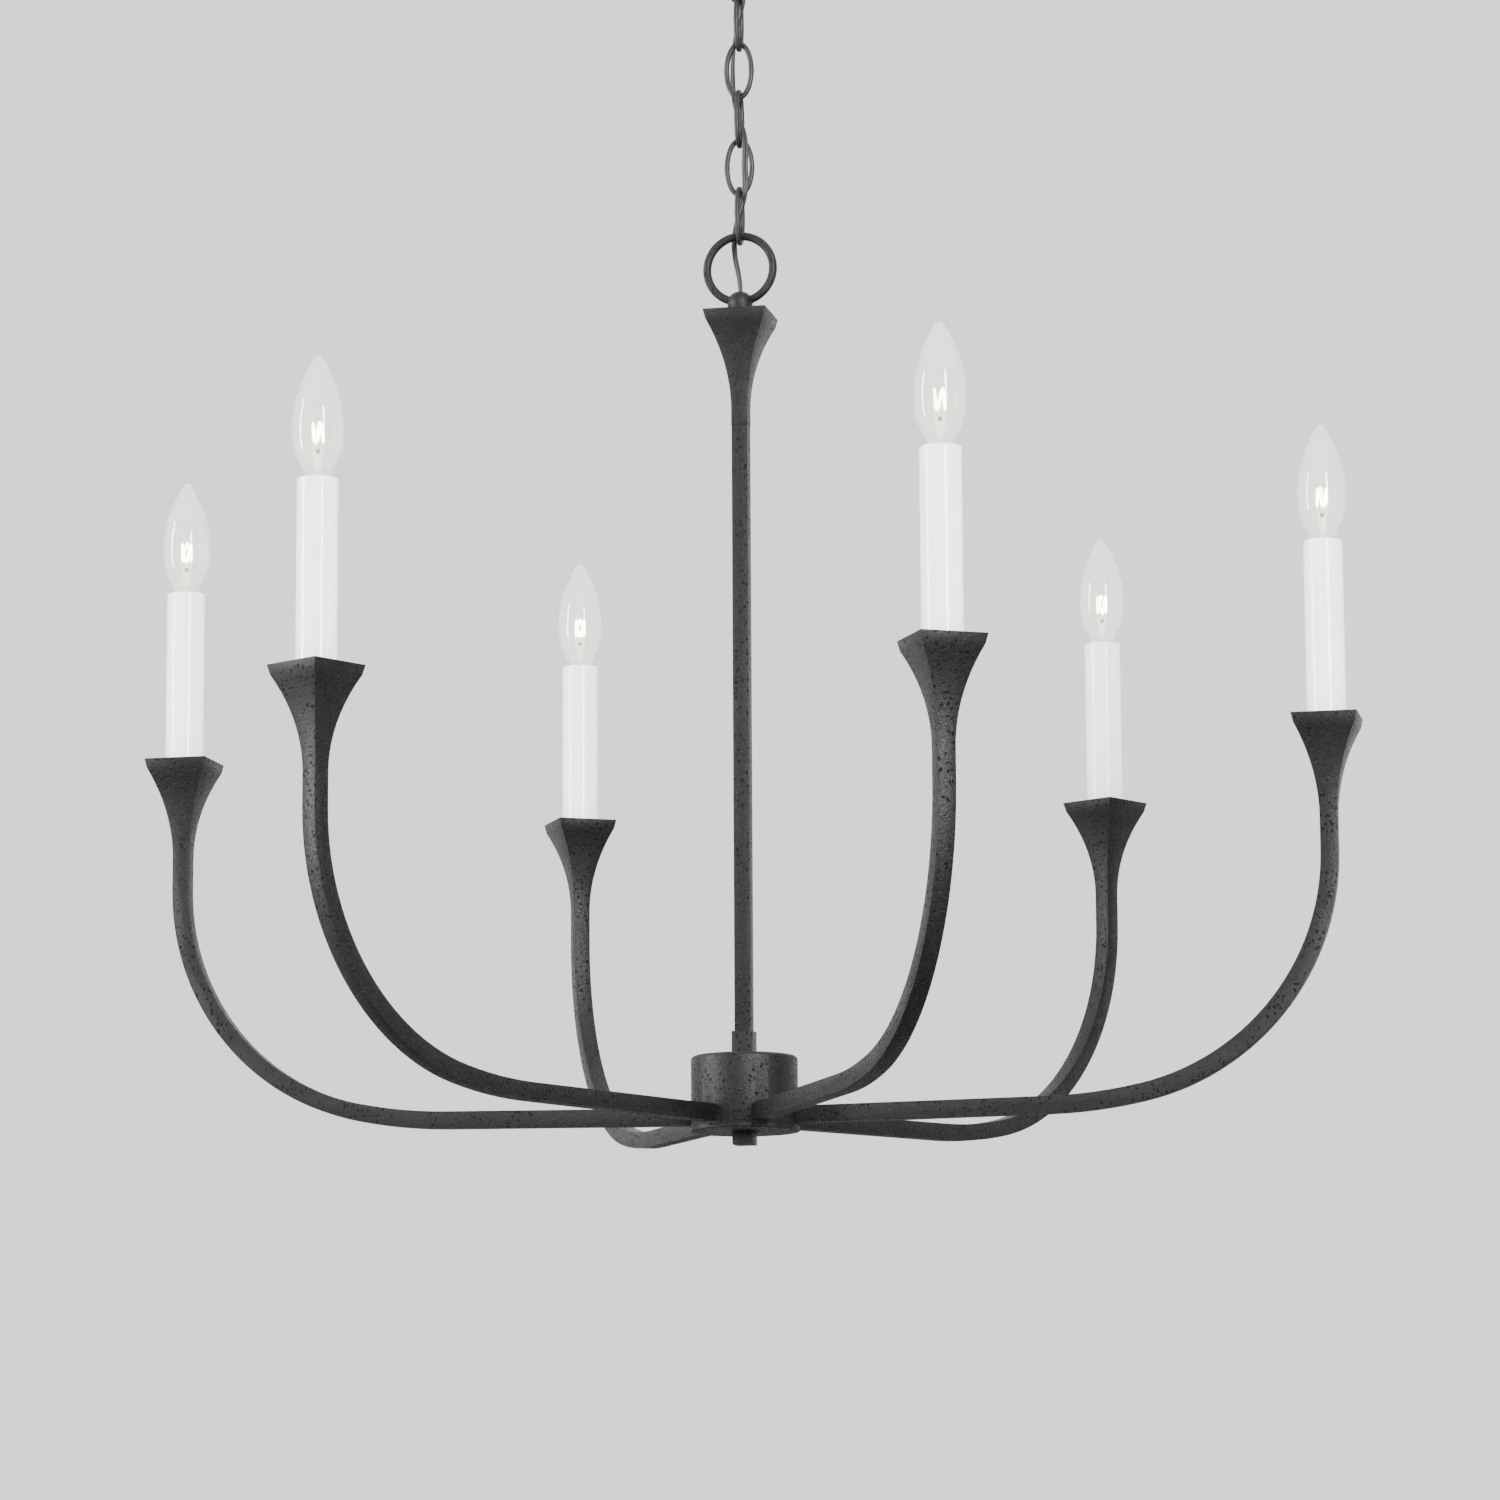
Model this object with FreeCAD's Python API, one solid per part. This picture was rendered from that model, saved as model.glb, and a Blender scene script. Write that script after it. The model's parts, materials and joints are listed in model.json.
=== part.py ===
"""Six-arm candle chandelier with its chain, lamp cord and ceiling canopy.

Every piece is a solid of its own, written to parts/NODE.step in millimetres.
The frame is +Z up, with the origin at ceiling height on the centre of the strap
that the outlet box's two screws hold, so the whole lamp hangs below Z = 0.
Arm 1 points along +X and the others follow every 60 degrees, counter-clockwise
seen from above.
"""
import FreeCAD, Part
import math
import os

V = FreeCAD.Vector
ORIGIN = V(0, 0, 0)
UP = V(0, 0, 1)

# ---------------------------------------------------------------- driving sizes
# heights of the main levels, all below the ceiling
RIM_Z = -563.0              # rims of the six candle cups
STEM_RIM_Z = RIM_Z + 270.75  # rim of the flared cap on top of the stem
HUB_TOP_Z = RIM_Z - 197.2
HUB_BASE_Z = RIM_Z - 240.7
GAP = 0.1                   # air between flat faces of pieces that move apart

# arms
ARM_COUNT = 6
CANDLE_R = 362.0            # candle circle radius
ARM_W = 10.5                # square bar
ARM_BORE_R = 3.0
ARM_EXIT_Z = RIM_Z - 234.0  # bar's centreline where it leaves the hub
ARM_RISE_DEG = 0.75         # the long run climbs very slightly
EASE_R = 300.0              # gentle start of the bend up to the riser
EASE_TO_DEG = 12.0          # slope at which the gentle start gives way
BEND_R = 146.0              # rest of the bend
TAIL_R = 4.0                # threaded tail through the hub wall
TAIL_END_R = 23.5

# flared square cup, the same on the arms and on the stem
CUP_HALF = 20.0
LIP_FOOT_HALF = 18.6
LIP_H = 6.0
FLARE_H = 62.0
PAN_HALF = 16.6
PAN_DEPTH = 6.4

# candle: sleeve, socket and bulb
SLEEVE_R = 11.9
SLEEVE_BORE_R = 10.5
SLEEVE_TOP_Z = RIM_Z + 107.9
POST_R = 5.0
SOCKET_R = 10.2
SOCKET_BORE_R = 6.2
SOCKET_TOP_Z = RIM_Z + 99.5
SOCKET_FLOOR_Z = RIM_Z + 81.9
SOCKET_BASE_Z = RIM_Z + 75.5
BULB_TIP_Z = RIM_Z + 180.2
BULB_R = 15.2
GLASS_WALL = 0.8
SHELL_R = 5.85              # screw shell of the bulb's base
THREAD_PITCH = 2.54

# hub and stem
HUB_R = 32.85
HUB_WALL = 3.0
COVER_R = 34.0
COVER_T = 2.8
PIPE_R = 5.1                # 1/8 inch lamp pipe, outside
PIPE_BORE_R = 3.5
STEM_W = 10.0
STEM_BORE_R = 3.6
COLLAR_W = 13.0
COLLAR_H = 15.2
FINIAL_H = 8.0

# ring on top of the stem cap
RING_OUTER_R = 23.75
RING_WIRE_R = 2.6
RING_Z = STEM_RIM_Z + 29.15
BOSS_R = 8.0
BOSS_H = 14.2
CORD_HOLE_R = 3.2

# chain
LINK_COUNT = 6
LINK_WIRE_R = 1.65
LINK_HALF_L = 17.525        # of the wire's centreline
LINK_HALF_W = 8.0
LINK_END_R = 4.5
CONTACT_GAP = 0.15
LINK_PITCH = 2 * (LINK_HALF_L - LINK_WIRE_R) - CONTACT_GAP
RING_CENTRELINE_R = RING_OUTER_R - RING_WIRE_R
LOWEST_LINK_Z = (RING_Z + RING_CENTRELINE_R - RING_WIRE_R - CONTACT_GAP
                 + LINK_HALF_L - LINK_WIRE_R)
TOP_LINK_Z = LOWEST_LINK_Z + (LINK_COUNT - 1) * LINK_PITCH

# lamp cord
CORD_R = 2.0

# canopy set at the ceiling
LOOP_OUTER_R = 12.5
LOOP_WIRE_R = 2.0
LOOP_Z = (TOP_LINK_Z + LINK_HALF_L - LINK_WIRE_R - CONTACT_GAP
          - 2 * LOOP_WIRE_R + LOOP_OUTER_R)
LOOP_CUP_R = 13.2
LOOP_CUP_Z = -37.0
LOOP_CUP_H = 17.0
LOOP_FLOOR_T = 5.0
LOOP_HOLE_R = 3.9
RING_NUT_BORE_R = 13.5
RING_NUT_R = 18.0
RING_NUT_H = 6.0
RING_NUT_Z = -33.0
CANOPY_R = 63.5
CANOPY_T = 1.2
CANOPY_HOLE_R = 13.7
STRAP_L = 112.0
STRAP_W = 19.0
STRAP_T = 1.6
BOX_SCREW_SPACING = 88.9
SLOT_L = 14.0
SLOT_R = 2.4
GROUND_SCREW_X = 26.0


# ---------------------------------------------------------------- small helpers
def rod(radius, z0, z1, x=0.0, y=0.0):
    """Upright cylinder between two heights."""
    return Part.makeCylinder(radius, z1 - z0, V(x, y, z0))


def block(width, z0, z1):
    """Upright square bar on the Z axis."""
    return Part.makeBox(width, width, z1 - z0, V(-width / 2, -width / 2, z0))


def hexagon(across_flats, z0, z1):
    """Upright hexagonal prism on the Z axis, with flats facing +Y and -Y."""
    corner_r = across_flats / math.sqrt(3)
    corners = [V(corner_r * math.cos(math.radians(60 * k)),
                 corner_r * math.sin(math.radians(60 * k)), z0) for k in range(6)]
    face = Part.Face(Part.makePolygon(corners + corners[:1]))
    return face.extrude(V(0, 0, z1 - z0))


def outline(start, *moves):
    """Closed flat outline in the XZ plane, as a face.

    A move is (x, z) for a straight side, or ((x, z), (x, z)) for an arc through
    a point on it to its end.
    """
    def at(point):
        return V(point[0], 0, point[1])

    edges = []
    here = start
    for move in moves + (start,):
        if isinstance(move[0], tuple):
            through, end = move
            edges.append(Part.Arc(at(here), at(through), at(end)).toShape())
        else:
            end = move
            if math.dist(here, end) > 1e-6:
                edges.append(Part.LineSegment(at(here), at(end)).toShape())
        here = end
    return Part.Face(Part.Wire(edges))


def lathe(start, *moves):
    """Solid turned about Z from a closed (radius, height) outline."""
    return outline(start, *moves).revolve(ORIGIN, UP, 360)


def arc_point(centre, radius, degrees):
    """Point of an arc in the XZ plane, by its angle from +X."""
    angle = math.radians(degrees)
    return (centre[0] + radius * math.cos(angle), centre[1] + radius * math.sin(angle))


def turned(shape, degrees):
    """The shape turned about the lamp's axis."""
    copy = shape.copy()
    copy.rotate(ORIGIN, UP, degrees)
    return copy


def moved(shape, x, y, z):
    """The shape carried by a vector."""
    copy = shape.copy()
    copy.translate(V(x, y, z))
    return copy


def arm_angles():
    """Directions of the arms, in degrees."""
    return [360.0 / ARM_COUNT * k for k in range(ARM_COUNT)]


# ---------------------------------------------------------------- arms and cups
def along_arm(section, start_r, top_z):
    """Carry a flat section, drawn about the origin in the YZ plane, along an arm.

    The centreline is a long run that climbs slightly, a bend that starts gently
    and tightens, and an upright riser that ends at top_z.
    """
    rise = math.radians(ARM_RISE_DEG)
    ease = math.radians(EASE_TO_DEG)
    bends = ((EASE_R, rise, ease), (BEND_R, ease, math.pi / 2))
    x = CANDLE_R - sum(r * (math.sin(end) - math.sin(start)) for r, start, end in bends)
    z = ARM_EXIT_Z + (x - HUB_R) * math.tan(rise)
    face = Part.Face(section)
    face.rotate(ORIGIN, V(0, 1, 0), -ARM_RISE_DEG)
    face.translate(V(start_r, 0, z - (x - start_r) * math.tan(rise)))
    run = V(x - start_r, 0, (x - start_r) * math.tan(rise))
    lengths = [face.extrude(run)]
    face.translate(run)
    for radius, start, end in bends:
        centre = V(x - radius * math.sin(start), 0, z + radius * math.cos(start))
        turn = math.degrees(end - start)
        lengths.append(face.revolve(centre, V(0, -1, 0), turn))
        face.rotate(centre, V(0, -1, 0), turn)
        x = centre.x + radius * math.sin(end)
        z = centre.z - radius * math.cos(end)
    lengths.append(face.extrude(V(0, 0, top_z - z)))
    return lengths[0].fuse(lengths[1:]).removeSplitter()


def square_section(width):
    """Square wire about the origin in the YZ plane."""
    half = width / 2
    corners = [V(0, -half, -half), V(0, half, -half), V(0, half, half), V(0, -half, half)]
    return Part.makePolygon(corners + corners[:1])


def round_section(radius):
    """Round wire about the origin in the YZ plane."""
    return Part.Wire(Part.makeCircle(radius, ORIGIN, V(1, 0, 0)))


def flared_cup(shank_half, rim_z):
    """Square cup on the Z axis that sweeps out from its shank to a leaning lip.

    Two crossed prisms of the same outline meet in it, which mitres the corners.
    """
    foot = (shank_half, rim_z - FLARE_H)
    lip_foot = (LIP_FOOT_HALF, rim_z - LIP_H)
    reach = lip_foot[0] - foot[0]
    height = lip_foot[1] - foot[1]
    radius = (reach ** 2 + height ** 2) / (2 * reach)
    half_turn = math.degrees(math.asin(height / radius)) / 2
    middle = arc_point((foot[0] + radius, foot[1]), radius, 180 - half_turn)

    def other(point):
        return (-point[0], point[1])

    rim = (CUP_HALF, rim_z)
    face = outline(foot, (middle, lip_foot), rim, other(rim), other(lip_foot),
                   (other(middle), other(foot)))
    face.translate(V(0, -CUP_HALF, 0))
    prism = face.extrude(V(0, 2 * CUP_HALF, 0))
    return prism.common(turned(prism, 90))


def arm():
    """One arm: tail, swept square bar and candle cup, bored for its lead."""
    bar = along_arm(square_section(ARM_W), HUB_R - HUB_WALL, RIM_Z - FLARE_H)
    bar = bar.cut(rod(HUB_R, HUB_BASE_Z - 10, HUB_TOP_Z))
    tail = Part.makeCylinder(TAIL_R, HUB_R + 2 - TAIL_END_R,
                             V(TAIL_END_R, 0, ARM_EXIT_Z), V(1, 0, 0))
    cup = moved(flared_cup(ARM_W / 2, RIM_Z), CANDLE_R, 0, 0)
    pan = moved(block(2 * PAN_HALF, RIM_Z - PAN_DEPTH, RIM_Z + 1), CANDLE_R, 0, 0)
    bore = along_arm(round_section(ARM_BORE_R), TAIL_END_R - 1, RIM_Z)
    return bar.fuse([tail, cup]).cut(pan).cut(bore).removeSplitter()


def arm_locknuts():
    """Hex nuts inside the hub, one on each arm's tail."""
    nut = hexagon(12.0, 0, 3.0).cut(rod(TAIL_R, -1, 4))
    nut.rotate(ORIGIN, V(0, 1, 0), 90)
    nut.rotate(ORIGIN, V(1, 0, 0), 90)
    nut = moved(nut, TAIL_END_R + 1.8, 0, ARM_EXIT_Z)
    return Part.makeCompound([turned(nut, angle) for angle in arm_angles()])


# ---------------------------------------------------------------- candles
def socket_post():
    """Steel post that screws into the cup and carries the lamp socket."""
    floor_z = RIM_Z - PAN_DEPTH
    foot = hexagon(16.0, floor_z, floor_z + 4.0)
    table = rod(9.0, SOCKET_BASE_Z - 2.0, SOCKET_BASE_Z)
    post = rod(POST_R, floor_z + 4.0, SOCKET_BASE_Z - 2.0)
    bore = rod(ARM_BORE_R, floor_z - 1, SOCKET_BASE_Z + 1)
    return moved(foot.fuse([post, table]).cut(bore).removeSplitter(), CANDLE_R, 0, 0)


def lamp_socket():
    """Phenolic candelabra socket: a cup with a shoulder and a lead hole."""
    solid = lathe((2.0, SOCKET_BASE_Z), (SOCKET_R - 1.2, SOCKET_BASE_Z),
                  (SOCKET_R, SOCKET_BASE_Z + 1.2), (SOCKET_R, SOCKET_TOP_Z - 0.6),
                  (SOCKET_R - 0.6, SOCKET_TOP_Z), (SOCKET_BORE_R, SOCKET_TOP_Z),
                  (SOCKET_BORE_R, SOCKET_FLOOR_Z), (2.0, SOCKET_FLOOR_Z))
    return moved(solid, CANDLE_R, 0, 0)


def candle_sleeve():
    """Plain plastic candle tube with a softened top edge."""
    foot_z = RIM_Z - PAN_DEPTH + GAP
    round_r = 0.7
    corner = arc_point((SLEEVE_R - round_r, SLEEVE_TOP_Z - round_r), round_r, 45)
    solid = lathe((SLEEVE_BORE_R, foot_z), (SLEEVE_R, foot_z),
                  (SLEEVE_R, SLEEVE_TOP_Z - round_r),
                  (corner, (SLEEVE_R - round_r, SLEEVE_TOP_Z)),
                  (SLEEVE_BORE_R, SLEEVE_TOP_Z))
    return moved(solid, CANDLE_R, 0, 0)


NOSE_SWEEP_R = 80.0               # long arc from the belly up to the nose
NOSE_DEG = 32.45                  # how far that arc runs before the round tip
NOSE_END_R = BULB_R - NOSE_SWEEP_R * (1 - math.cos(math.radians(NOSE_DEG)))
TIP_R = NOSE_END_R / math.cos(math.radians(NOSE_DEG))
TIP_CENTRE_Z = BULB_TIP_Z - TIP_R
BELLY_Z = TIP_CENTRE_Z + (TIP_R - NOSE_SWEEP_R) * math.sin(math.radians(NOSE_DEG))
SHOULDER_R = 43.0                 # arc from the belly down to the shoulder
SHOULDER_DEG = 27.0
NECK_R = 6.3
NECK_Z = BULB_TIP_Z - 77.5
SHELL_TOP_Z = BULB_TIP_Z - 80.0
SHELL_BASE_Z = BULB_TIP_Z - 93.0
CONTACT_R = 2.2


def glass_skin(inset):
    """Points of the bulb's outline, set in by a wall thickness.

    Returned from the shoulder up to the tip, with the middle of each arc
    between the points that it joins. Every arc meets the next one smoothly.
    """
    low_centre = (BULB_R - SHOULDER_R, BELLY_Z)
    high_centre = (BULB_R - NOSE_SWEEP_R, BELLY_Z)
    tip_centre = (0.0, TIP_CENTRE_Z)
    shoulder = arc_point(low_centre, SHOULDER_R - inset, -SHOULDER_DEG)
    shoulder_mid = arc_point(low_centre, SHOULDER_R - inset, -SHOULDER_DEG / 2)
    belly = (BULB_R - inset, BELLY_Z)
    nose_mid = arc_point(high_centre, NOSE_SWEEP_R - inset, NOSE_DEG / 2)
    nose = arc_point(high_centre, NOSE_SWEEP_R - inset, NOSE_DEG)
    tip_mid = arc_point(tip_centre, TIP_R - inset, 45 + NOSE_DEG / 2)
    tip = (0.0, BULB_TIP_Z - inset)
    return shoulder, shoulder_mid, belly, nose_mid, nose, tip_mid, tip


def bulb_glass():
    """Hollow torpedo envelope, open at the neck."""
    neck_top = (NECK_R, NECK_Z)
    inner_neck = NECK_R - GLASS_WALL
    outer = glass_skin(0.0)
    inner = glass_skin(GLASS_WALL)

    def waist(point, neck_r, sag):
        return ((point[0] + neck_r) / 2 - sag, (point[1] + NECK_Z) / 2)

    solid = lathe((inner_neck, SHELL_TOP_Z), (NECK_R, SHELL_TOP_Z), neck_top,
                  (waist(outer[0], NECK_R, 0.7), outer[0]),
                  (outer[1], outer[2]), (outer[3], outer[4]), (outer[5], outer[6]),
                  inner[6], (inner[5], inner[4]), (inner[3], inner[2]),
                  (inner[1], inner[0]),
                  (waist(inner[0], inner_neck, 0.7), (inner_neck, NECK_Z)))
    return moved(solid, CANDLE_R, 0, 0)


def bulb_base():
    """Screw base: rolled thread rings, insulator cone and centre contact."""
    crest = SHELL_R
    root = SHELL_R - 0.5
    moves = [(crest, SHELL_TOP_Z)]
    z = SHELL_TOP_Z - 2.0
    moves.append((crest, z))
    while z - THREAD_PITCH > SHELL_BASE_Z:
        half = THREAD_PITCH / 2
        moves.append(((root, z - half / 2), (crest - 0.25, z - half)))
        moves.append(((crest, z - 1.5 * half), (crest - 0.25, z - 2 * half)))
        z -= THREAD_PITCH
    contact_z = SHELL_BASE_Z - 2.8
    moves += [(root, SHELL_BASE_Z), (3.4, SHELL_BASE_Z - 2.6), (CONTACT_R, contact_z),
              (arc_point((0.0, contact_z), CONTACT_R, -45), (0.0, contact_z - CONTACT_R))]
    return moved(lathe((0.0, SHELL_TOP_Z), *moves), CANDLE_R, 0, 0)


# ---------------------------------------------------------------- hub and stem
def hub_body():
    """Round hub cup, open below, with a soft top edge and six tail holes."""
    edge_r = 2.5
    corner = arc_point((HUB_R - edge_r, HUB_TOP_Z - edge_r), edge_r, 45)
    top_t = 3.5
    inner_r = HUB_R - HUB_WALL
    body = lathe((PIPE_R, HUB_TOP_Z), (HUB_R - edge_r, HUB_TOP_Z),
                 (corner, (HUB_R, HUB_TOP_Z - edge_r)), (HUB_R, HUB_BASE_Z),
                 (inner_r, HUB_BASE_Z), (inner_r, HUB_TOP_Z - top_t),
                 (PIPE_R, HUB_TOP_Z - top_t))
    hole = Part.makeCylinder(TAIL_R + 0.15, HUB_WALL + 4,
                             V(inner_r - 2, 0, ARM_EXIT_Z), V(1, 0, 0))
    return body.cut([turned(hole, angle) for angle in arm_angles()])


def centre_rod():
    """Lamp pipe through the hub, with a window where the leads come out."""
    pipe = rod(PIPE_R, HUB_TOP_Z - 50.0, HUB_TOP_Z + COLLAR_H - 8.0)
    bore = rod(PIPE_BORE_R, HUB_TOP_Z - 51.0, HUB_TOP_Z + COLLAR_H)
    window = Part.makeBox(5.0, 20.0, 16.0, V(-2.5, -10.0, HUB_TOP_Z - 27.0))
    return pipe.cut([bore, window])


def rod_locknut():
    """Hex nut and washer that clamp the hub to the pipe."""
    under_z = HUB_TOP_Z - 3.5
    nut = hexagon(14.0, under_z - 4.0, under_z - 1.0)
    washer = rod(10.0, under_z - 1.0, under_z)
    return nut.fuse(washer).cut(rod(PIPE_R, under_z - 5, under_z + 1))


def stem_collar():
    """Square coupling between the stem and the hub's pipe."""
    top_z = HUB_TOP_Z + COLLAR_H
    socket = block(STEM_W, top_z - 8.0, top_z + 1)
    thread = rod(PIPE_R, HUB_TOP_Z - 1, top_z)
    return block(COLLAR_W, HUB_TOP_Z, top_z).cut([socket, thread])


def stem_tube():
    """Square tube from the collar up to the flared cap."""
    low_z = HUB_TOP_Z + COLLAR_H - 8.0
    high_z = STEM_RIM_Z - FLARE_H - 10.0
    return block(STEM_W, low_z, high_z).cut(rod(STEM_BORE_R, low_z - 1, high_z + 1))


def stem_cap():
    """Flared square cap with a flat top, a shank and a spigot into the tube."""
    low_z = STEM_RIM_Z - FLARE_H - 10.0
    cap = flared_cup(STEM_W / 2 + 0.15, STEM_RIM_Z)
    shank = block(STEM_W + 0.3, low_z, STEM_RIM_Z - FLARE_H)
    spigot = rod(STEM_BORE_R, low_z - 10.0, low_z)
    bore = rod(2.6, low_z - 11.0, STEM_RIM_Z - 20.0)
    mouth = rod(CORD_HOLE_R, STEM_RIM_Z - 20.0, STEM_RIM_Z + 1)
    return cap.fuse([shank, spigot]).cut([bore, mouth]).removeSplitter()


def hanging_ring():
    """Round ring with a domed boss, drilled for the cord."""
    ring = Part.makeTorus(RING_CENTRELINE_R, RING_WIRE_R, V(0, 0, RING_Z), V(0, 1, 0))
    waist_z = STEM_RIM_Z + 7.0
    top_z = STEM_RIM_Z + BOSS_H
    boss = lathe((0, STEM_RIM_Z), (BOSS_R - 1.2, STEM_RIM_Z),
                 ((BOSS_R - 0.35, STEM_RIM_Z + 3.2), (BOSS_R, waist_z)),
                 ((BOSS_R * 0.72, waist_z + 5.4), (0, top_z)))
    below = Part.makeBox(60, 60, 20, V(-30, -30, STEM_RIM_Z - 20))
    hole = rod(CORD_HOLE_R, STEM_RIM_Z - 1, STEM_RIM_Z + 20)
    return ring.cut(below).fuse(boss).cut(hole).removeSplitter()


def hub_cover():
    """Thin disc that closes the hub from below."""
    top_z = HUB_BASE_Z - GAP
    edge_r = 0.8
    corner = arc_point((COVER_R - edge_r, top_z - COVER_T + edge_r), edge_r, -45)
    return lathe((PIPE_R + 0.3, top_z), (COVER_R, top_z),
                 (COVER_R, top_z - COVER_T + edge_r),
                 (corner, (COVER_R - edge_r, top_z - COVER_T)),
                 (PIPE_R + 0.3, top_z - COVER_T))


def finial():
    """Small square knob on the end of the pipe."""
    top_z = HUB_BASE_Z - COVER_T - 2 * GAP
    knob = block(COLLAR_W, top_z - FINIAL_H, top_z)
    return knob.cut(rod(PIPE_R + 0.2, top_z - 5.0, top_z + 1))


def socket_leads():
    """Insulated leads inside the arms, from the hub up to the sockets."""
    lead_r = 1.6
    start_r = 14.0
    lead = along_arm(round_section(lead_r), start_r, SOCKET_BASE_Z)
    stub = rod(lead_r, ARM_EXIT_Z - lead_r, HUB_TOP_Z - 17.0, start_r)
    lead = lead.fuse(stub).removeSplitter()
    return Part.makeCompound([turned(lead, angle) for angle in arm_angles()])


def wire_connectors():
    """Two cone-shaped twist-on connectors over the leads in the hub."""
    foot_z = HUB_TOP_Z - 17.0
    cone = lathe((0, foot_z), (5.0, foot_z), (4.6, foot_z + 5.0), (3.2, foot_z + 12.0),
                 (0, foot_z + 12.6))
    cone = moved(cone, 14.0, 0, 0)
    return Part.makeCompound([cone, turned(cone, 180)])


# ---------------------------------------------------------------- chain and cord
def chain_link(z, side_on):
    """Oval link of round wire, drawn from two end arcs and two side arcs."""
    across = LINK_HALF_L - LINK_END_R
    side_r = ((across ** 2 + LINK_HALF_W ** 2 - LINK_END_R ** 2)
              / (2 * (LINK_HALF_W - LINK_END_R)))
    side_centre = side_r - LINK_HALF_W
    half_side = math.degrees(math.atan2(across, side_centre))
    half_end = 90.0 - half_side
    wire = Part.Face(Part.Wire(Part.makeCircle(LINK_WIRE_R, ORIGIN, UP)))
    solids = []
    for flip in (0, 180):
        side = moved(wire, LINK_HALF_W, 0, 0)
        side.rotate(V(-side_centre, 0, 0), V(0, -1, 0), -half_side)
        side = side.revolve(V(-side_centre, 0, 0), V(0, -1, 0), 2 * half_side)
        end = moved(wire, LINK_END_R, 0, across)
        end.rotate(V(0, 0, across), V(0, -1, 0), 90 - half_end)
        end = end.revolve(V(0, 0, across), V(0, -1, 0), 2 * half_end)
        for piece in (side, end):
            piece.rotate(ORIGIN, V(0, 1, 0), flip)
            solids.append(piece)
    link = solids[0].fuse(solids[1:]).removeSplitter()
    return moved(turned(link, 90 if side_on else 0), 0, 0, z)


def link_centre(number):
    """Height of a link's middle; link 1 is the top one."""
    return TOP_LINK_Z - (number - 1) * LINK_PITCH


def joint_height(number):
    """Height where a link hangs in the one above it."""
    return (link_centre(number) + link_centre(number - 1)) / 2


# The cord weaves through the links. A point beside two linked ends stands out
# past both wires, and the cord crosses each side-on link through its opening.
OUT = 5.2
RING_TOP_Z = RING_Z + RING_CENTRELINE_R
SPLIT_Z = link_centre(3)
UPPER_ROUTE = [
    (0.0, 0.0, LOOP_CUP_Z + 14.0),
    (0.1, -0.2, LOOP_CUP_Z + 1.0),
    (2.3, -4.2, LOOP_Z - 2.5),
    (5.4, -5.0, LOOP_Z - 14.0),
    (4.7, -4.6, link_centre(1)),
    (OUT, -OUT, joint_height(2)),
    (0.3, -0.7, link_centre(2)),
    (-OUT, OUT - 0.2, joint_height(3)),
    (-OUT, OUT - 0.1, SPLIT_Z),
]
LOWER_ROUTE = [
    (-OUT, OUT - 0.1, SPLIT_Z),
    (-OUT, OUT, joint_height(4)),
    (0.2, -0.3, link_centre(4)),
    (OUT, -OUT + 0.1, joint_height(5)),
    (4.2, -4.5, link_centre(5)),
    (OUT, -OUT, joint_height(6)),
    (-0.3, 0.4, link_centre(6) + 1.0),
    (-5.3, 6.8, RING_TOP_Z + 2.0),
    (-4.5, 5.4, RING_Z + 9.0),
    (-1.2, 1.7, RING_Z - 3.0),
    (0.3, 0.1, STEM_RIM_Z + BOSS_H + 1.8),
    (0.0, 0.1, STEM_RIM_Z + 8.0),
    (0.05, 0.1, STEM_RIM_Z + 1.0),
]


def tube_along(name, route, radius):
    """Round tube on straight runs joined by tangent arcs; prints the radii."""
    points = [V(*point) for point in route]
    edges = []
    radii = []
    here = points[0]
    for before, corner, after in zip(points, points[1:], points[2:]):
        back = before - corner
        ahead = after - corner
        shorter = min(back.Length, ahead.Length)
        back.normalize()
        ahead.normalize()
        half_turn = (math.pi - back.getAngle(ahead)) / 2
        tangent_l = 0.45 * shorter
        arc_r = tangent_l / math.tan(half_turn)
        radii.append(arc_r)
        enter = corner + back * tangent_l
        leave = corner + ahead * tangent_l
        inward = back + ahead
        inward.normalize()
        middle = corner + inward * (arc_r / math.cos(half_turn) - arc_r)
        edges.append(Part.LineSegment(here, enter).toShape())
        edges.append(Part.Arc(enter, middle, leave).toShape())
        here = leave
    edges.append(Part.LineSegment(here, points[-1]).toShape())
    path = Part.Wire(edges)
    section = Part.Wire(Part.makeCircle(radius, points[0], points[1] - points[0]))
    tube = path.makePipeShell([section], True, False)
    expected = math.pi * radius ** 2 * path.Length
    print(f"{name}: length {path.Length:.1f}, radii",
          " ".join(f"{value:.0f}" for value in radii),
          f"volume {tube.Volume:.0f} of {expected:.0f}")
    return tube


# ---------------------------------------------------------------- ceiling set
def canopy_loop():
    """Screw-collar loop: an eye under a cup that threads onto the nipple."""
    eye = Part.makeTorus(LOOP_OUTER_R - LOOP_WIRE_R, LOOP_WIRE_R,
                         V(0, 0, LOOP_Z), V(1, 0, 0))
    floor_z = LOOP_CUP_Z
    top_z = floor_z + LOOP_CUP_H
    cup = lathe((0, floor_z), (LOOP_CUP_R - 2.0, floor_z), (LOOP_CUP_R, floor_z + 2.0),
                (LOOP_CUP_R, top_z), (LOOP_CUP_R - 2.2, top_z),
                (LOOP_CUP_R - 2.2, floor_z + LOOP_FLOOR_T), (7.6, floor_z + LOOP_FLOOR_T),
                (7.6, floor_z + 12.0), (PIPE_R, floor_z + 12.0),
                (PIPE_R, floor_z + LOOP_FLOOR_T), (0, floor_z + LOOP_FLOOR_T))
    above = rod(LOOP_CUP_R, floor_z + 2.5, 0)
    hole = rod(LOOP_HOLE_R, floor_z - 6.0, top_z)
    return eye.cut(above).fuse(cup).cut(hole).removeSplitter()


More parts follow.
